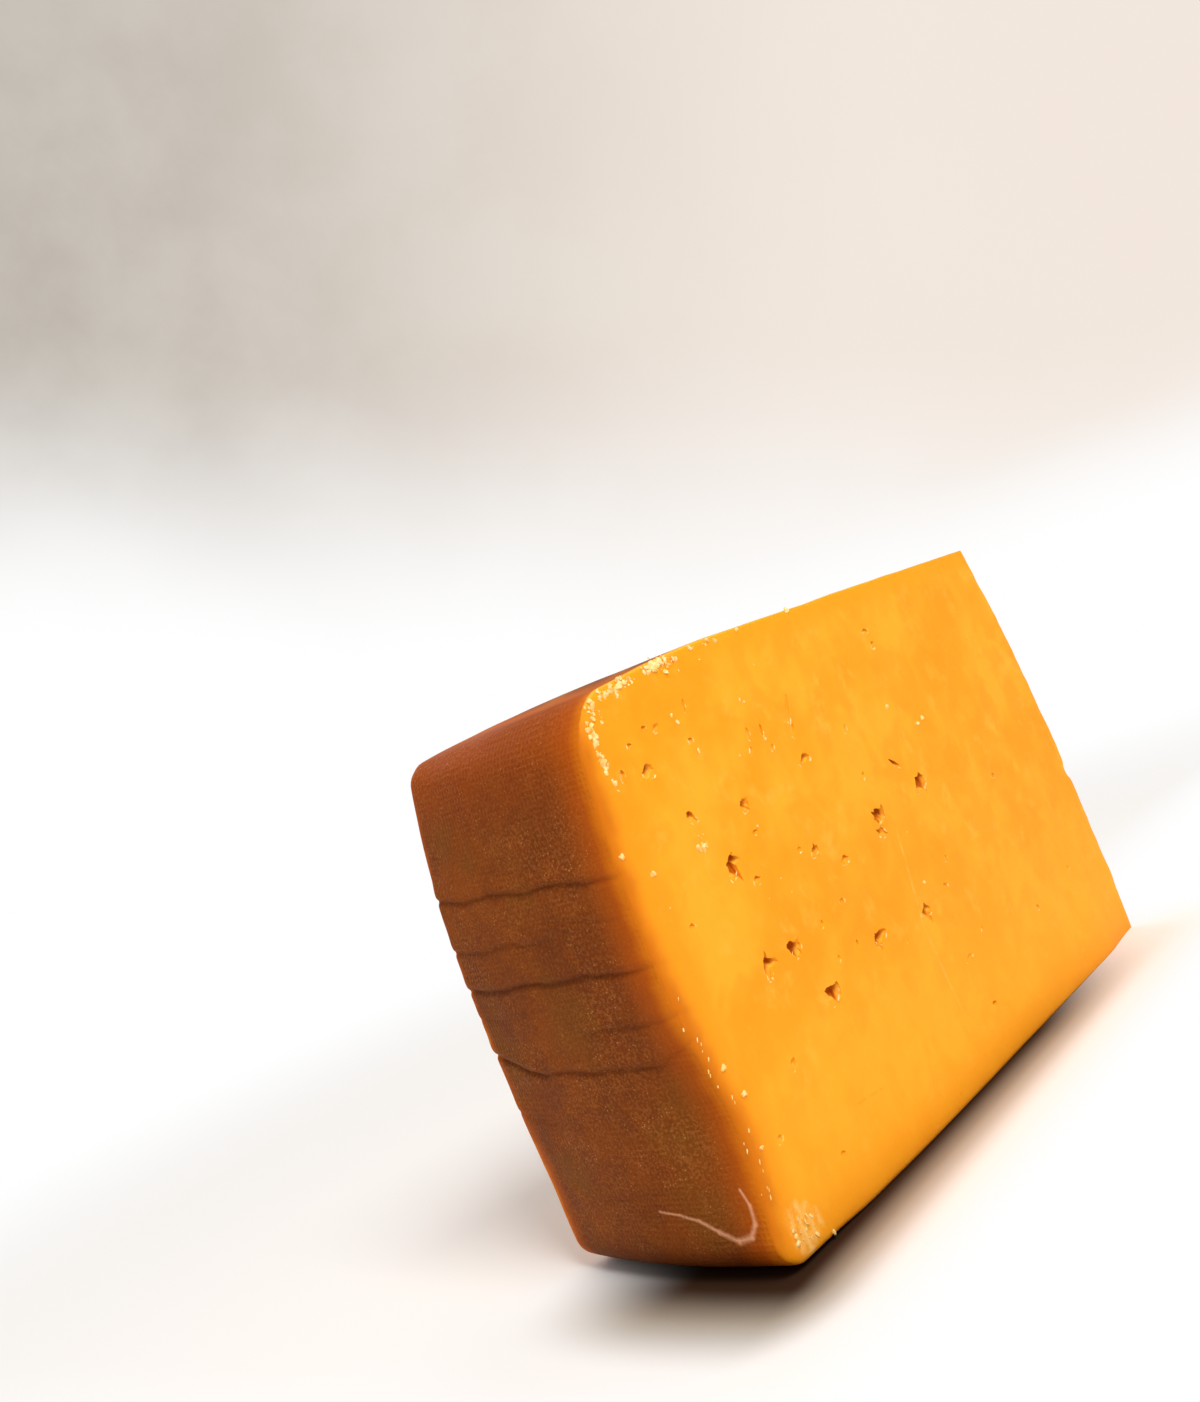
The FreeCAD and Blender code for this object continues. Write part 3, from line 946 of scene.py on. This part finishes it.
# Bands by the paste's edges. The paler band over the base is painted light, and the darker one over the
# foot is painted shade.
PASTE_EDGES = [
    # painted light: the lower middle of the near cut paler, as if lit from the floor
    ("over base", 8.0, 34.0, 0.45, 0.0, colour(254, 174, 40)),
    ("under rim", 1.5, 8.0, 1.0, 0.0, colour(243, 151, 25)),
    ("under rim", 0.0, 3.2, 1.0, 0.0, colour(205, 112, 16)),
    # painted shade: the near cut darker at its foot, by the floor
    ("over foot", 1.0, 7.0, 0.7, 0.0, colour(249, 156, 28)),
    ("over foot", 0.0, 2.2, 0.5, 0.0, colour(240, 142, 24)),
    ("under top", 0.5, 5.0, 0.8, 0.0, colour(254, 157, 24)),
]

# The openings are torn and pale at their lips, with a painted highlight there, and painted shade darkens
# them inside
OPENING_FROM_RIM = 2.0, 3.0
LIP_DEPTH, LIP_PALE_AND_HIGHLIGHT_STRENGTH, LIP_PALE_AND_HIGHLIGHT_TONE = (0.12, 0.3), 0.7, colour(255, 184, 58)
HOLLOW_SHADE_DEPTH, HOLLOW_SHADE_TONE = (0.3, 0.9), colour(196, 96, 6)

# Lines that the knife left on the near cut: both ends (from the axis and height), width, strength, tone
DRAG_TONE, SHADOW_TONE, SMEAR_TONE = colour(255, 206, 120), colour(214, 124, 20), colour(255, 210, 126)
KNIFE_LINES = [
    ((63.6, 38.0), (66.2, 24.0), 0.35, 0.35, DRAG_TONE),
    ((66.2, 24.0), (64.2, 6.0), 0.35, 0.25, DRAG_TONE),
    ((97.3, 11.0), (90.9, 10.2), 0.3, 0.4, SHADOW_TONE),
    ((90.9, 10.2), (82.9, 9.1), 0.25, 0.4, SHADOW_TONE),
    ((117.4, 6.4), (117.0, 2.4), 1.2, 0.6, SMEAR_TONE),
    ((115.5, 6.6), (115.3, 1.6), 1.3, 0.7, SMEAR_TONE),
    ((113.7, 5.8), (113.6, 2.2), 1.1, 0.6, SMEAR_TONE),
    ((112.3, 4.6), (112.0, 3.0), 0.8, 0.5, SMEAR_TONE),
]
KNIFE_BREAK_SIZE, KNIFE_BREAKS = 0.9, (0.42, 0.56, 0.2, 1.0)
PASTE_ROUGHNESS = 0.3, 0.7, 0.42, 0.6
PASTE_GRAIN, PASTE_WAVES = (0.4, 0.06), (1.8, 0.10)     # size and height of its bumps


def paste_look(tree, place, effects, marks):
    """The golden paste: (colour, roughness, bump height in millimetres)."""
    up = tree.axes(place)[2]
    soft = tree.use(effects["mottle"], "Value", Place=place, Size=PASTE_MOTTLE, Fine=PASTE_MOTTLE_FINE)
    paste = tree.mix(tree.ramp(soft, *PASTE_MOTTLE_RANGE), PASTE_DARK, PASTE_LIGHT)
    curds = {"curds": tree.noise(place, CURD_SIZE, detail=2.5, distortion=0.5),
             "pale curds": tree.noise(place, PALE_CURD_SIZE, detail=4.0, roughness=0.6)}
    paste = tree.lay(paste, curds, PASTE_CURDS)
    flecks = tree.use(effects["specks"], "Mask", Place=place, **FLECKS)
    paste = tree.mix(tree.times(flecks, FLECK_STRENGTH), paste, FLECK_TONE)
    # painted shade of tiny holes, laid as dark dots
    pinhole_shades = tree.use(effects["specks"], "Mask", Place=shifted(tree, place), **PINHOLE_SHADE_SPOTS)
    paste = tree.mix(tree.times(pinhole_shades, PINHOLE_SHADE_STRENGTH), paste, PINHOLE_SHADE_TONE)

    wander = tree.sway(tree.noise(place, EDGE_WANDER_SIZE, detail=3.0), EDGE_WANDER)
    edges = {"over base": up, "over foot": tree.math("ADD", up, wander),
             "under rim": tree.math("ADD", marks["under_rim"], wander),
             "under top": tree.math("SUBTRACT", WHEEL_HEIGHT / MM, up)}
    # the edge bands, with painted light over the base and painted shade at the foot
    paste = tree.lay(paste, edges, PASTE_EDGES)

    inside = tree.ramp(marks["under_rim"], *OPENING_FROM_RIM)
    # pale torn curd on the lips, with a painted highlight
    lips_pale_and_lit = tree.times(inside, tree.ramp(marks["under_cut"], *LIP_DEPTH))
    paste = tree.mix(tree.times(lips_pale_and_lit, LIP_PALE_AND_HIGHLIGHT_STRENGTH), paste, LIP_PALE_AND_HIGHLIGHT_TONE)
    # painted shade deep in the openings
    hollow_shade = tree.times(inside, tree.ramp(marks["under_cut"], *HOLLOW_SHADE_DEPTH))
    paste = tree.mix(hollow_shade, paste, HOLLOW_SHADE_TONE)

    broken = tree.ramp(tree.noise(place, KNIFE_BREAK_SIZE, detail=3.0), *KNIFE_BREAKS)
    for start, end, width, strength, tone in KNIFE_LINES:
        line = tree.use(effects["scratch"], "Mask", Place=place, Start=near_mm(*start), End=near_mm(*end),
                        Width=width)
        paste = tree.mix(tree.times(line, broken, strength), paste, tone)

    grain = tree.noise(place, PASTE_GRAIN[0], detail=3.0)
    rough = tree.ramp(grain, *PASTE_ROUGHNESS)
    height = tree.math("ADD", tree.times(grain, PASTE_GRAIN[1]),
                       tree.times(tree.noise(place, PASTE_WAVES[0]), PASTE_WAVES[1]))
    return paste, rough, height


# The smoked rind
RIND_DARK, RIND_LIGHT = colour(116, 54, 12), colour(140, 69, 16)
RIND_MOTTLE, RIND_MOTTLE_FINE, RIND_MOTTLE_RANGE = 15.0, 0.45, (0.34, 0.66)
DRAB_SIZE = 11.0
RIND_SHADES = [
    ("drab", 0.48, 0.66, 0.0, 0.6, colour(126, 73, 18)),
    ("up", 58.0, 71.0, 0.0, 0.75, colour(164, 70, 10)),
]
MEAL_SIZE, MEAL_RANGE, MEAL_STRENGTH, MEAL_TONE = 0.34, (0.42, 0.66), 0.5, colour(180, 110, 52)
MEAL_DOTS, MEAL_DOT_TONE = {"Spacing": 0.45, "Size": 0.17, "Share": 0.4}, colour(206, 140, 86)
MEAL_GATHER_SIZE, MEAL_GATHER = 8.0, (0.36, 0.62, 0.4, 0.8)
MEAL_ON_FLATS = 0.5
# Small dark pocks: painted shade in tiny pits of the rind
POCK_SHADE_SPOTS, POCK_SHADE_STRENGTH, POCK_SHADE_TONE = {"Spacing": 0.7, "Size": 0.24, "Share": 0.35}, 0.28, colour(78, 32, 8)
# painted shade: the rim darker towards its foot, by the floor
RIND_FOOT_SHADE = [("up", 0.0, 8.0, 0.7, 0.0, colour(82, 37, 9))]
# painted shade in the creases of the cloth's folds
FOLD_SHADE_STRENGTH, FOLD_SHADE_TONE = 0.42, colour(72, 28, 6)

# Painted light: the paste's light shown coming through the rind beside a cut
GLOW_SWAY = 4.0
PAINTED_GLOW_TONES = [
    ("glow", 0.8, 7.5, 0.9, 0.0, colour(184, 84, 8)),
    ("glow", 0.2, 2.8, 0.95, 0.0, colour(218, 120, 15)),
]
GLOW_FAR_SIDE = 28.0, 36.0      # round the rim, past which the glow is narrower
GLOW_NARROWING = 15.0, 45.0, 0.9, 3.0           # by height

# A hooked scratch near the rim's foot: both ends (round the rim from the near cut, and height), and width
RIM_SCRATCHES = [
    ((17.0, 9.5), (13.6, 9.0), 0.25), ((13.6, 9.0), (10.7, 8.2), 0.3), ((10.7, 8.2), (8.1, 6.7), 0.4),
    ((8.1, 6.7), (5.6, 5.5), 0.5), ((5.6, 5.5), (3.5, 5.9), 0.6), ((3.5, 5.9), (2.4, 7.4), 0.5),
    ((2.4, 7.4), (2.4, 9.5), 0.4), ((2.4, 9.5), (3.2, 11.4), 0.3),
]
SCRATCH_STRENGTH, SCRATCH_TONE = 0.85, colour(236, 168, 126)

# The cloth's print: its pitch, how uneven it is, and how it darkens and dents the rind
CLOTH_PITCH = 0.7
PRINT_PATCH_SIZE, PRINT_HELD = 12.0, (0.4, 0.6, 0.25, 1.0)
PRINT_SHADE, PRINT_TONE = (1.0, 8.0, 0.06, 0.28), colour(84, 36, 8)     # by how far it is from the glow
PRINT_DEPTH = 0.09
RIND_ROUGHNESS = 0.3, 0.7, 0.55, 0.7
RIND_GRAIN = 0.45, 0.13         # size and height of its bumps


def rind_look(tree, place, effects, marks):
    """The smoked rind: (colour, roughness, bump height in millimetres)."""
    up = tree.axes(place)[2]
    arc = tree.times(marks["arc"], 1 / MM)
    soft = tree.use(effects["mottle"], "Value", Place=place, Size=RIND_MOTTLE, Fine=RIND_MOTTLE_FINE)
    rind = tree.mix(tree.ramp(soft, *RIND_MOTTLE_RANGE), RIND_DARK, RIND_LIGHT)
    rind = tree.lay(rind, {"drab": tree.noise(place, DRAB_SIZE), "up": up}, RIND_SHADES)
    flats, flat_tone = flat_look(tree, place, soft, marks)
    rind = tree.mix(flats, rind, flat_tone)

    # A mealy bloom, fainter on the flats, and small dark pocks, painted as the shade in tiny pits
    gather = tree.ramp(tree.noise(place, MEAL_GATHER_SIZE), *MEAL_GATHER)
    gather = tree.times(gather, tree.math("MULTIPLY_ADD", flats, MEAL_ON_FLATS - 1, 1.0))
    meal = tree.times(tree.ramp(tree.noise(place, MEAL_SIZE, detail=1.0), *MEAL_RANGE), MEAL_STRENGTH)
    rind = tree.mix(tree.times(meal, gather), rind, MEAL_TONE)
    dots = tree.use(effects["specks"], "Mask", Place=place, **MEAL_DOTS)
    rind = tree.mix(tree.times(dots, gather), rind, MEAL_DOT_TONE)
    pock_shades = tree.use(effects["specks"], "Mask", Place=shifted(tree, place), **POCK_SHADE_SPOTS)
    rind = tree.mix(tree.times(pock_shades, POCK_SHADE_STRENGTH), rind, POCK_SHADE_TONE)
    # painted shade at the rim's foot
    rind = tree.lay(rind, {"up": up}, RIND_FOOT_SHADE)
    # painted shade in the folds of the cloth
    rind = tree.mix(tree.times(marks["fold"], FOLD_SHADE_STRENGTH), rind, FOLD_SHADE_TONE)

    glow = tree.math("ADD", marks["under_cut"], tree.sway(soft, GLOW_SWAY))
    narrowed = tree.times(tree.ramp(arc, *GLOW_FAR_SIDE), tree.ramp(up, *GLOW_NARROWING))
    glow = tree.times(glow, tree.math("ADD", 1.0, tree.math("MAXIMUM", flats, narrowed)))
    # painted light through the rind beside the cuts
    rind = tree.lay(rind, {"glow": glow}, PAINTED_GLOW_TONES)

    unrolled = tree.add("ShaderNodeCombineXYZ", {0: arc, 1: up}).outputs[0]
    for start, end, width in RIM_SCRATCHES:
        line = tree.use(effects["scratch"], "Mask", Place=unrolled, Start=(*start, 0), End=(*end, 0),
                        Width=width)
        rind = tree.mix(tree.times(line, SCRATCH_STRENGTH), rind, SCRATCH_TONE)

    cloth = tree.use(effects["cloth"], "Height", Round=arc, Up=up, Pitch=CLOTH_PITCH)
    held = tree.ramp(tree.noise(place, PRINT_PATCH_SIZE), *PRINT_HELD)
    cloth = tree.times(cloth, held, tree.math("SUBTRACT", 1.0, flats))
    rind = tree.mix(tree.times(cloth, tree.ramp(glow, *PRINT_SHADE)), rind, PRINT_TONE)
    rough = tree.ramp(soft, *RIND_ROUGHNESS)
    grain = tree.times(tree.noise(place, RIND_GRAIN[0], detail=3.0), RIND_GRAIN[1])
    return rind, rough, tree.math("ADD", tree.times(cloth, -PRINT_DEPTH), grain)


# The flats, with bars of smoke between the slats of the rack
FLAT_FROM_RIM = 3.5, 8.0
FLAT_DARK, FLAT_LIGHT, FLAT_MOTTLE_RANGE = colour(140, 68, 13), colour(160, 84, 17), (0.35, 0.65)
BAR_TURN, BAR_PITCH = math.radians(-32), 9.0
BAR_SWAY, BAR_SWAY_SIZE = 3.0, 16.0
SMOKE_WAVE, SMOKE_SIZE, SMOKE_PATCHES = (-0.4, 0.75), 26.0, (0.4, 0.62, 0.15, 0.9)
SMOKE_TONE = colour(84, 38, 6)
FLAT_SHADES = [
    ("wave", -0.3, -0.9, 0.0, 0.55, colour(178, 104, 26)),
    ("under rim", 6.0, 18.0, 0.85, 0.0, colour(190, 88, 8)),
]


def flat_look(tree, place, soft, marks):
    """Where the flats are, and their colour."""
    flats = tree.ramp(marks["under_rim"], *FLAT_FROM_RIM)
    turned = tree.add("ShaderNodeMapping", {"Vector": place, "Rotation": (0, 0, BAR_TURN)}).outputs[0]
    sway = tree.sway(tree.noise(place, BAR_SWAY_SIZE), BAR_SWAY)
    across = tree.math("ADD", tree.axes(turned)[0], sway)
    wave = tree.math("SINE", tree.times(across, math.tau / BAR_PITCH))
    tone = tree.mix(tree.ramp(soft, *FLAT_MOTTLE_RANGE), FLAT_DARK, FLAT_LIGHT)
    patches = tree.ramp(tree.noise(place, SMOKE_SIZE), *SMOKE_PATCHES)
    tone = tree.mix(tree.times(tree.ramp(wave, *SMOKE_WAVE), patches), tone, SMOKE_TONE)
    measures = {"wave": wave, "under rim": tree.math("ADD", marks["under_rim"], sway)}
    return flats, tree.lay(tone, measures, FLAT_SHADES)


RIND_EDGE_SIZE, RIND_EDGE_SWAY, RIND_EDGE = 0.9, 0.9, (0.3, 0.7)


def cheese_material():
    """Paste and rind in one material, with a ragged edge between them."""
    material, tree, shader = new_material("smoked cheese")
    effects = {"mottle": mottle_group(), "specks": specks_group(), "cloth": cloth_group(),
               "scratch": scratch_group()}
    place = tree.place_in_mm()
    marks = {name: tree.attribute(name) for name in ("rind", "under_rim", "under_cut", "arc", "fold")}
    paste, paste_rough, paste_height = paste_look(tree, place, effects, marks)
    rind, rind_rough, rind_height = rind_look(tree, place, effects, marks)

    ragged = tree.sway(tree.noise(place, RIND_EDGE_SIZE, detail=3.0), RIND_EDGE_SWAY)
    is_rind = tree.ramp(tree.math("ADD", marks["rind"], ragged), *RIND_EDGE)
    tree.feed(shader.inputs["Base Color"], tree.mix(is_rind, paste, rind))
    tree.feed(shader.inputs["Roughness"], tree.between(is_rind, paste_rough, rind_rough))
    height = tree.between(is_rind, paste_height, rind_height)
    bump = tree.add("ShaderNodeBump", {"Height": height, "Distance": MM, "Strength": 0.6})
    tree.feed(shader.inputs["Normal"], bump.outputs[0])
    shader.inputs["Subsurface Weight"].default_value = 0.2
    shader.inputs["Subsurface Radius"].default_value = (1.0, 0.42, 0.12)
    shader.inputs["Subsurface Scale"].default_value = 1.2 * MM
    shader.inputs["Specular IOR Level"].default_value = 0.06
    return material


CRUMB_DARK, CRUMB_LIGHT = colour(253, 190, 92), colour(255, 224, 150)
CRUMB_MOTTLE, CRUMB_MOTTLE_RANGE, CRUMB_GRAIN = 0.8, (0.35, 0.65), 0.2


def crumb_material():
    """Dry pale curd."""
    material, tree, shader = new_material("cheese crumb")
    place = tree.place_in_mm()
    share = tree.ramp(tree.noise(place, CRUMB_MOTTLE), *CRUMB_MOTTLE_RANGE)
    tree.feed(shader.inputs["Base Color"], tree.mix(share, CRUMB_DARK, CRUMB_LIGHT))
    bump = tree.add("ShaderNodeBump", {"Height": tree.noise(place, CRUMB_GRAIN), "Distance": 0.1 * MM,
                                       "Strength": 0.7})
    tree.feed(shader.inputs["Normal"], bump.outputs[0])
    shader.inputs["Roughness"].default_value = 0.7
    shader.inputs["Subsurface Weight"].default_value = 0.2
    shader.inputs["Subsurface Scale"].default_value = 1 * MM
    return material


# ---------------------------------------------------------------- the stage

FLOOR_RADIUS = 4.0
FLOOR_TONE = colour(248, 246, 244)
# A painted shadow on the floor round the wedge's foot
SHADE_DARK, SHADE_BROWN = colour(58, 38, 26), colour(166, 154, 138)
SHADE_TO_BROWN, SHADE_TO_FLOOR = (0.4, 6.2), (4.0, 12.0)        # by the gap to the foot, in millimetres
SHADE_SIDES, SHADE_DEPTHS = (-22 * MM, 4 * MM), (62 * MM, 12 * MM)      # where it dies out

# How fast the gap grows out of the near cut, the rim and the thin edge. Out of the far cut it is 1
GAP_NEAR, GAP_RIM, GAP_THIN = 0.95, 0.65, 2.5
THIN_END = HIGH[1] - 4 * MM

# The floor fades to white: away from the object, out of the near cut, before the rim, past the thin edge
FADE_AROUND = 0.13, 0.34
FADE_NEAR = HIGH[0] + 7 * MM, HIGH[0] + 22 * MM
FADE_RIM = LOW[1] - 12 * MM, LOW[1] - 45 * MM
FADE_THIN, FADE_THIN_SIDES = (THIN_END, HIGH[1] + 14 * MM), (-20 * MM, 8 * MM)


def gap_to_foot(tree, side, depth):
    """How far in millimetres a spot of the floor is from the wedge's foot."""
    out = tree.math("SUBTRACT", CUT_X, side)
    along = tree.math("SUBTRACT", AXIS_Y, depth)
    from_axis = tree.math("SQRT", tree.math("MULTIPLY_ADD", out, out, tree.math("MULTIPLY", along, along)))
    past_near = tree.math("MULTIPLY", out, -GAP_NEAR)
    past_rim = tree.math("MULTIPLY", tree.math("SUBTRACT", from_axis, BASE_RADIUS), GAP_RIM)
    past_far = tree.math("SUBTRACT", tree.math("MULTIPLY", out, math.cos(WEDGE_ANGLE)),
                         tree.math("MULTIPLY", along, math.sin(WEDGE_ANGLE)))
    past_thin = tree.math("MULTIPLY", tree.math("SUBTRACT", depth, THIN_END), GAP_THIN)
    squared = 0.0
    for past in (past_near, past_rim, past_far, past_thin):
        past = tree.math("MAXIMUM", past, 0.0)
        squared = tree.math("MULTIPLY_ADD", past, past, squared)
    return tree.math("DIVIDE", tree.math("SQRT", squared), MM)


def floor_material():
    """Pale paper with a painted shadow close to the foot, that fades to white where the backdrop starts."""
    material, tree, shader = new_material("pale floor")
    place = tree.add("ShaderNodeTexCoord").outputs["Object"]
    side, depth, _ = tree.axes(place)
    gap = gap_to_foot(tree, side, depth)
    # the painted shadow, by the gap to the foot
    painted_shade = tree.mix(tree.ramp(gap, *SHADE_TO_BROWN), SHADE_DARK, SHADE_BROWN)
    painted_shade = tree.mix(tree.ramp(gap, *SHADE_TO_FLOOR), painted_shade, FLOOR_TONE)
    held = tree.times(tree.ramp(side, *SHADE_SIDES), tree.ramp(depth, *SHADE_DEPTHS))
    tree.feed(shader.inputs["Base Color"], tree.mix(held, FLOOR_TONE, painted_shade))
    shader.inputs["Roughness"].default_value = 0.8
    shader.inputs["Specular IOR Level"].default_value = 0.0

    white = tree.add("ShaderNodeEmission", {"Color": (1, 1, 1, 1), "Strength": 1.0}).outputs[0]
    away = tree.add("ShaderNodeVectorMath", {0: place}, operation="LENGTH").outputs["Value"]
    fade = tree.ramp(away, *FADE_AROUND)
    past_thin = tree.times(tree.ramp(depth, *FADE_THIN), tree.ramp(side, *FADE_THIN_SIDES))
    for other in (tree.ramp(side, *FADE_NEAR), tree.ramp(depth, *FADE_RIM), past_thin):
        fade = tree.math("MAXIMUM", fade, other)
    fade = tree.times(fade, tree.add("ShaderNodeLightPath").outputs["Is Camera Ray"])
    mixed = tree.add("ShaderNodeMixShader", {0: fade, 1: shader.outputs[0], 2: white}).outputs[0]
    tree.feed(material.node_tree.nodes["Material Output"].inputs["Surface"], mixed)
    return material


def make_stage():
    """A pale floor that runs on into a white backdrop with no seam."""
    bpy.ops.object.select_all(action="DESELECT")
    bpy.ops.mesh.primitive_circle_add(vertices=96, radius=FLOOR_RADIUS, fill_type="NGON")
    floor = bpy.context.object
    floor.name = "floor"
    floor.data.materials.append(floor_material())


# The camera, from where the wheel's axis meets the table: towards the rim, out of the near cut, and up
CAMERA_TOWARDS_RIM, CAMERA_OUT, CAMERA_UP = 246.1 * MM, 107.7 * MM, 67.4 * MM
VIEW_RIGHT = Vector((0.7169, 0.5997, -0.3556)).normalized()
VIEW_FORWARD = Vector((-0.6374, 0.7704, 0.0140))
VIEW_FORWARD = (VIEW_FORWARD - VIEW_FORWARD.dot(VIEW_RIGHT) * VIEW_RIGHT).normalized()
VIEW_UP = VIEW_RIGHT.cross(VIEW_FORWARD)
SENSOR = 36.0
LENS_TO_FRAME = 1450 / 1402     # focal length against the frame's long side

# The light, and the backdrop's tones with their painted shade, by how far a ray goes to the right and up
WORLD_LIGHT, WORLD_TINT = 0.5, (1.0, 0.985, 0.965, 1)
WHITE, PAPER_TONE = colour(255, 255, 255), colour(238, 234, 226)
# painted shade on the backdrop: darker grey to the left, lighter to the right
GREY_LEFT, GREY_RIGHT = colour(188, 180, 170), colour(243, 231, 221)
GREY_SIDES, GREY_RISE, GREY_LEVEL = (-0.40, 0.20), (0.03, 0.24), (0.0, 0.08)
GREY_SWAY, GREY_SWAY_SIZE = 0.06, 0.2
PAPER_SIZE, PAPER_RANGE = 0.11, (0.3, 0.7, 0.0, 0.22)


def make_world():
    """Even studio light, and behind the object a backdrop from white to a soft warm grey, a painted shade
    that is greyer to the left and higher up.
    """
    world = bpy.data.worlds.new("studio")
    bpy.context.scene.world = world
    world.use_nodes = True
    tree = Tree(world.node_tree)
    even = world.node_tree.nodes["Background"]
    even.inputs["Color"].default_value = WORLD_TINT
    even.inputs["Strength"].default_value = WORLD_LIGHT
    towards = tree.add("ShaderNodeTexCoord").outputs["Generated"]
    rise = tree.vector("DOT_PRODUCT", towards, tuple(VIEW_UP))["Value"]
    side = tree.vector("DOT_PRODUCT", towards, tuple(VIEW_RIGHT))["Value"]
    # painted shade on the backdrop, grey to the left and above the white
    grey = tree.mix(tree.ramp(side, *GREY_SIDES), GREY_LEFT, GREY_RIGHT)
    paper = tree.noise(towards, PAPER_SIZE, detail=5.0, roughness=0.6)
    grey = tree.mix(tree.ramp(paper, *PAPER_RANGE), grey, PAPER_TONE)
    crease = tree.math("ADD", rise, tree.sway(tree.noise(towards, GREY_SWAY_SIZE), GREY_SWAY))
    backdrop_shade_share = tree.times(tree.ramp(crease, *GREY_RISE), tree.ramp(tree.axes(towards)[2], *GREY_LEVEL))
    tone = tree.mix(backdrop_shade_share, WHITE, grey)
    backdrop = tree.add("ShaderNodeBackground", {"Color": tone, "Strength": 1.0}).outputs[0]
    seen = tree.add("ShaderNodeLightPath").outputs["Is Camera Ray"]
    mixed = tree.add("ShaderNodeMixShader", {0: seen, 1: even.outputs[0], 2: backdrop}).outputs[0]
    tree.feed(world.node_tree.nodes["World Output"].inputs["Surface"], mixed)


def add_lamp(name, spot, size, watts, tint=(1, 1, 1)):
    """A square soft light at a spot, turned to face the middle of the wedge."""
    data = bpy.data.lights.new(name, "AREA")
    data.size, data.energy, data.color = size, watts, tint
    lamp = bpy.data.objects.new(name, data)
    lamp.location = spot
    towards = Vector((0, 0, WHEEL_HEIGHT / 2)) - Vector(spot)
    lamp.rotation_euler = towards.to_track_quat("-Z", "Y").to_euler()
    bpy.context.collection.objects.link(lamp)


def add_camera():
    """The camera, nearly as high as the wedge's top, looking almost level and tilted to one side."""
    data = bpy.data.cameras.new("camera")
    data.sensor_width = SENSOR
    data.lens = SENSOR * LENS_TO_FRAME
    data.clip_start, data.clip_end = 0.005, 20
    camera = bpy.data.objects.new("camera", data)
    turn = Matrix((VIEW_RIGHT, VIEW_UP, -VIEW_FORWARD)).transposed()
    spot = Vector((CUT_X + CAMERA_OUT, AXIS_Y - CAMERA_TOWARDS_RIM, CAMERA_UP))
    camera.matrix_world = Matrix.Translation(spot) @ turn.to_4x4()
    bpy.context.collection.objects.link(camera)
    bpy.context.scene.camera = camera


# ---------------------------------------------------------------- putting it together

cheese = make_cheese()
cheese.data.materials.clear()
cheese.data.materials.append(cheese_material())
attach(cheese, "root")
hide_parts("cheese_wedge")

crumbs = make_crumbs()
crumbs.data.materials.clear()
crumbs.data.materials.append(crumb_material())
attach(crumbs, "root")

make_stage()
make_world()
add_lamp("key", spot=(0.50, -0.25, 0.66), size=0.34, watts=5.3, tint=(1, 0.985, 0.96))
add_lamp("far fill", spot=(-0.80, 0.30, 0.40), size=0.60, watts=1.8)
add_camera()
bpy.context.scene.view_settings.view_transform = "Standard"
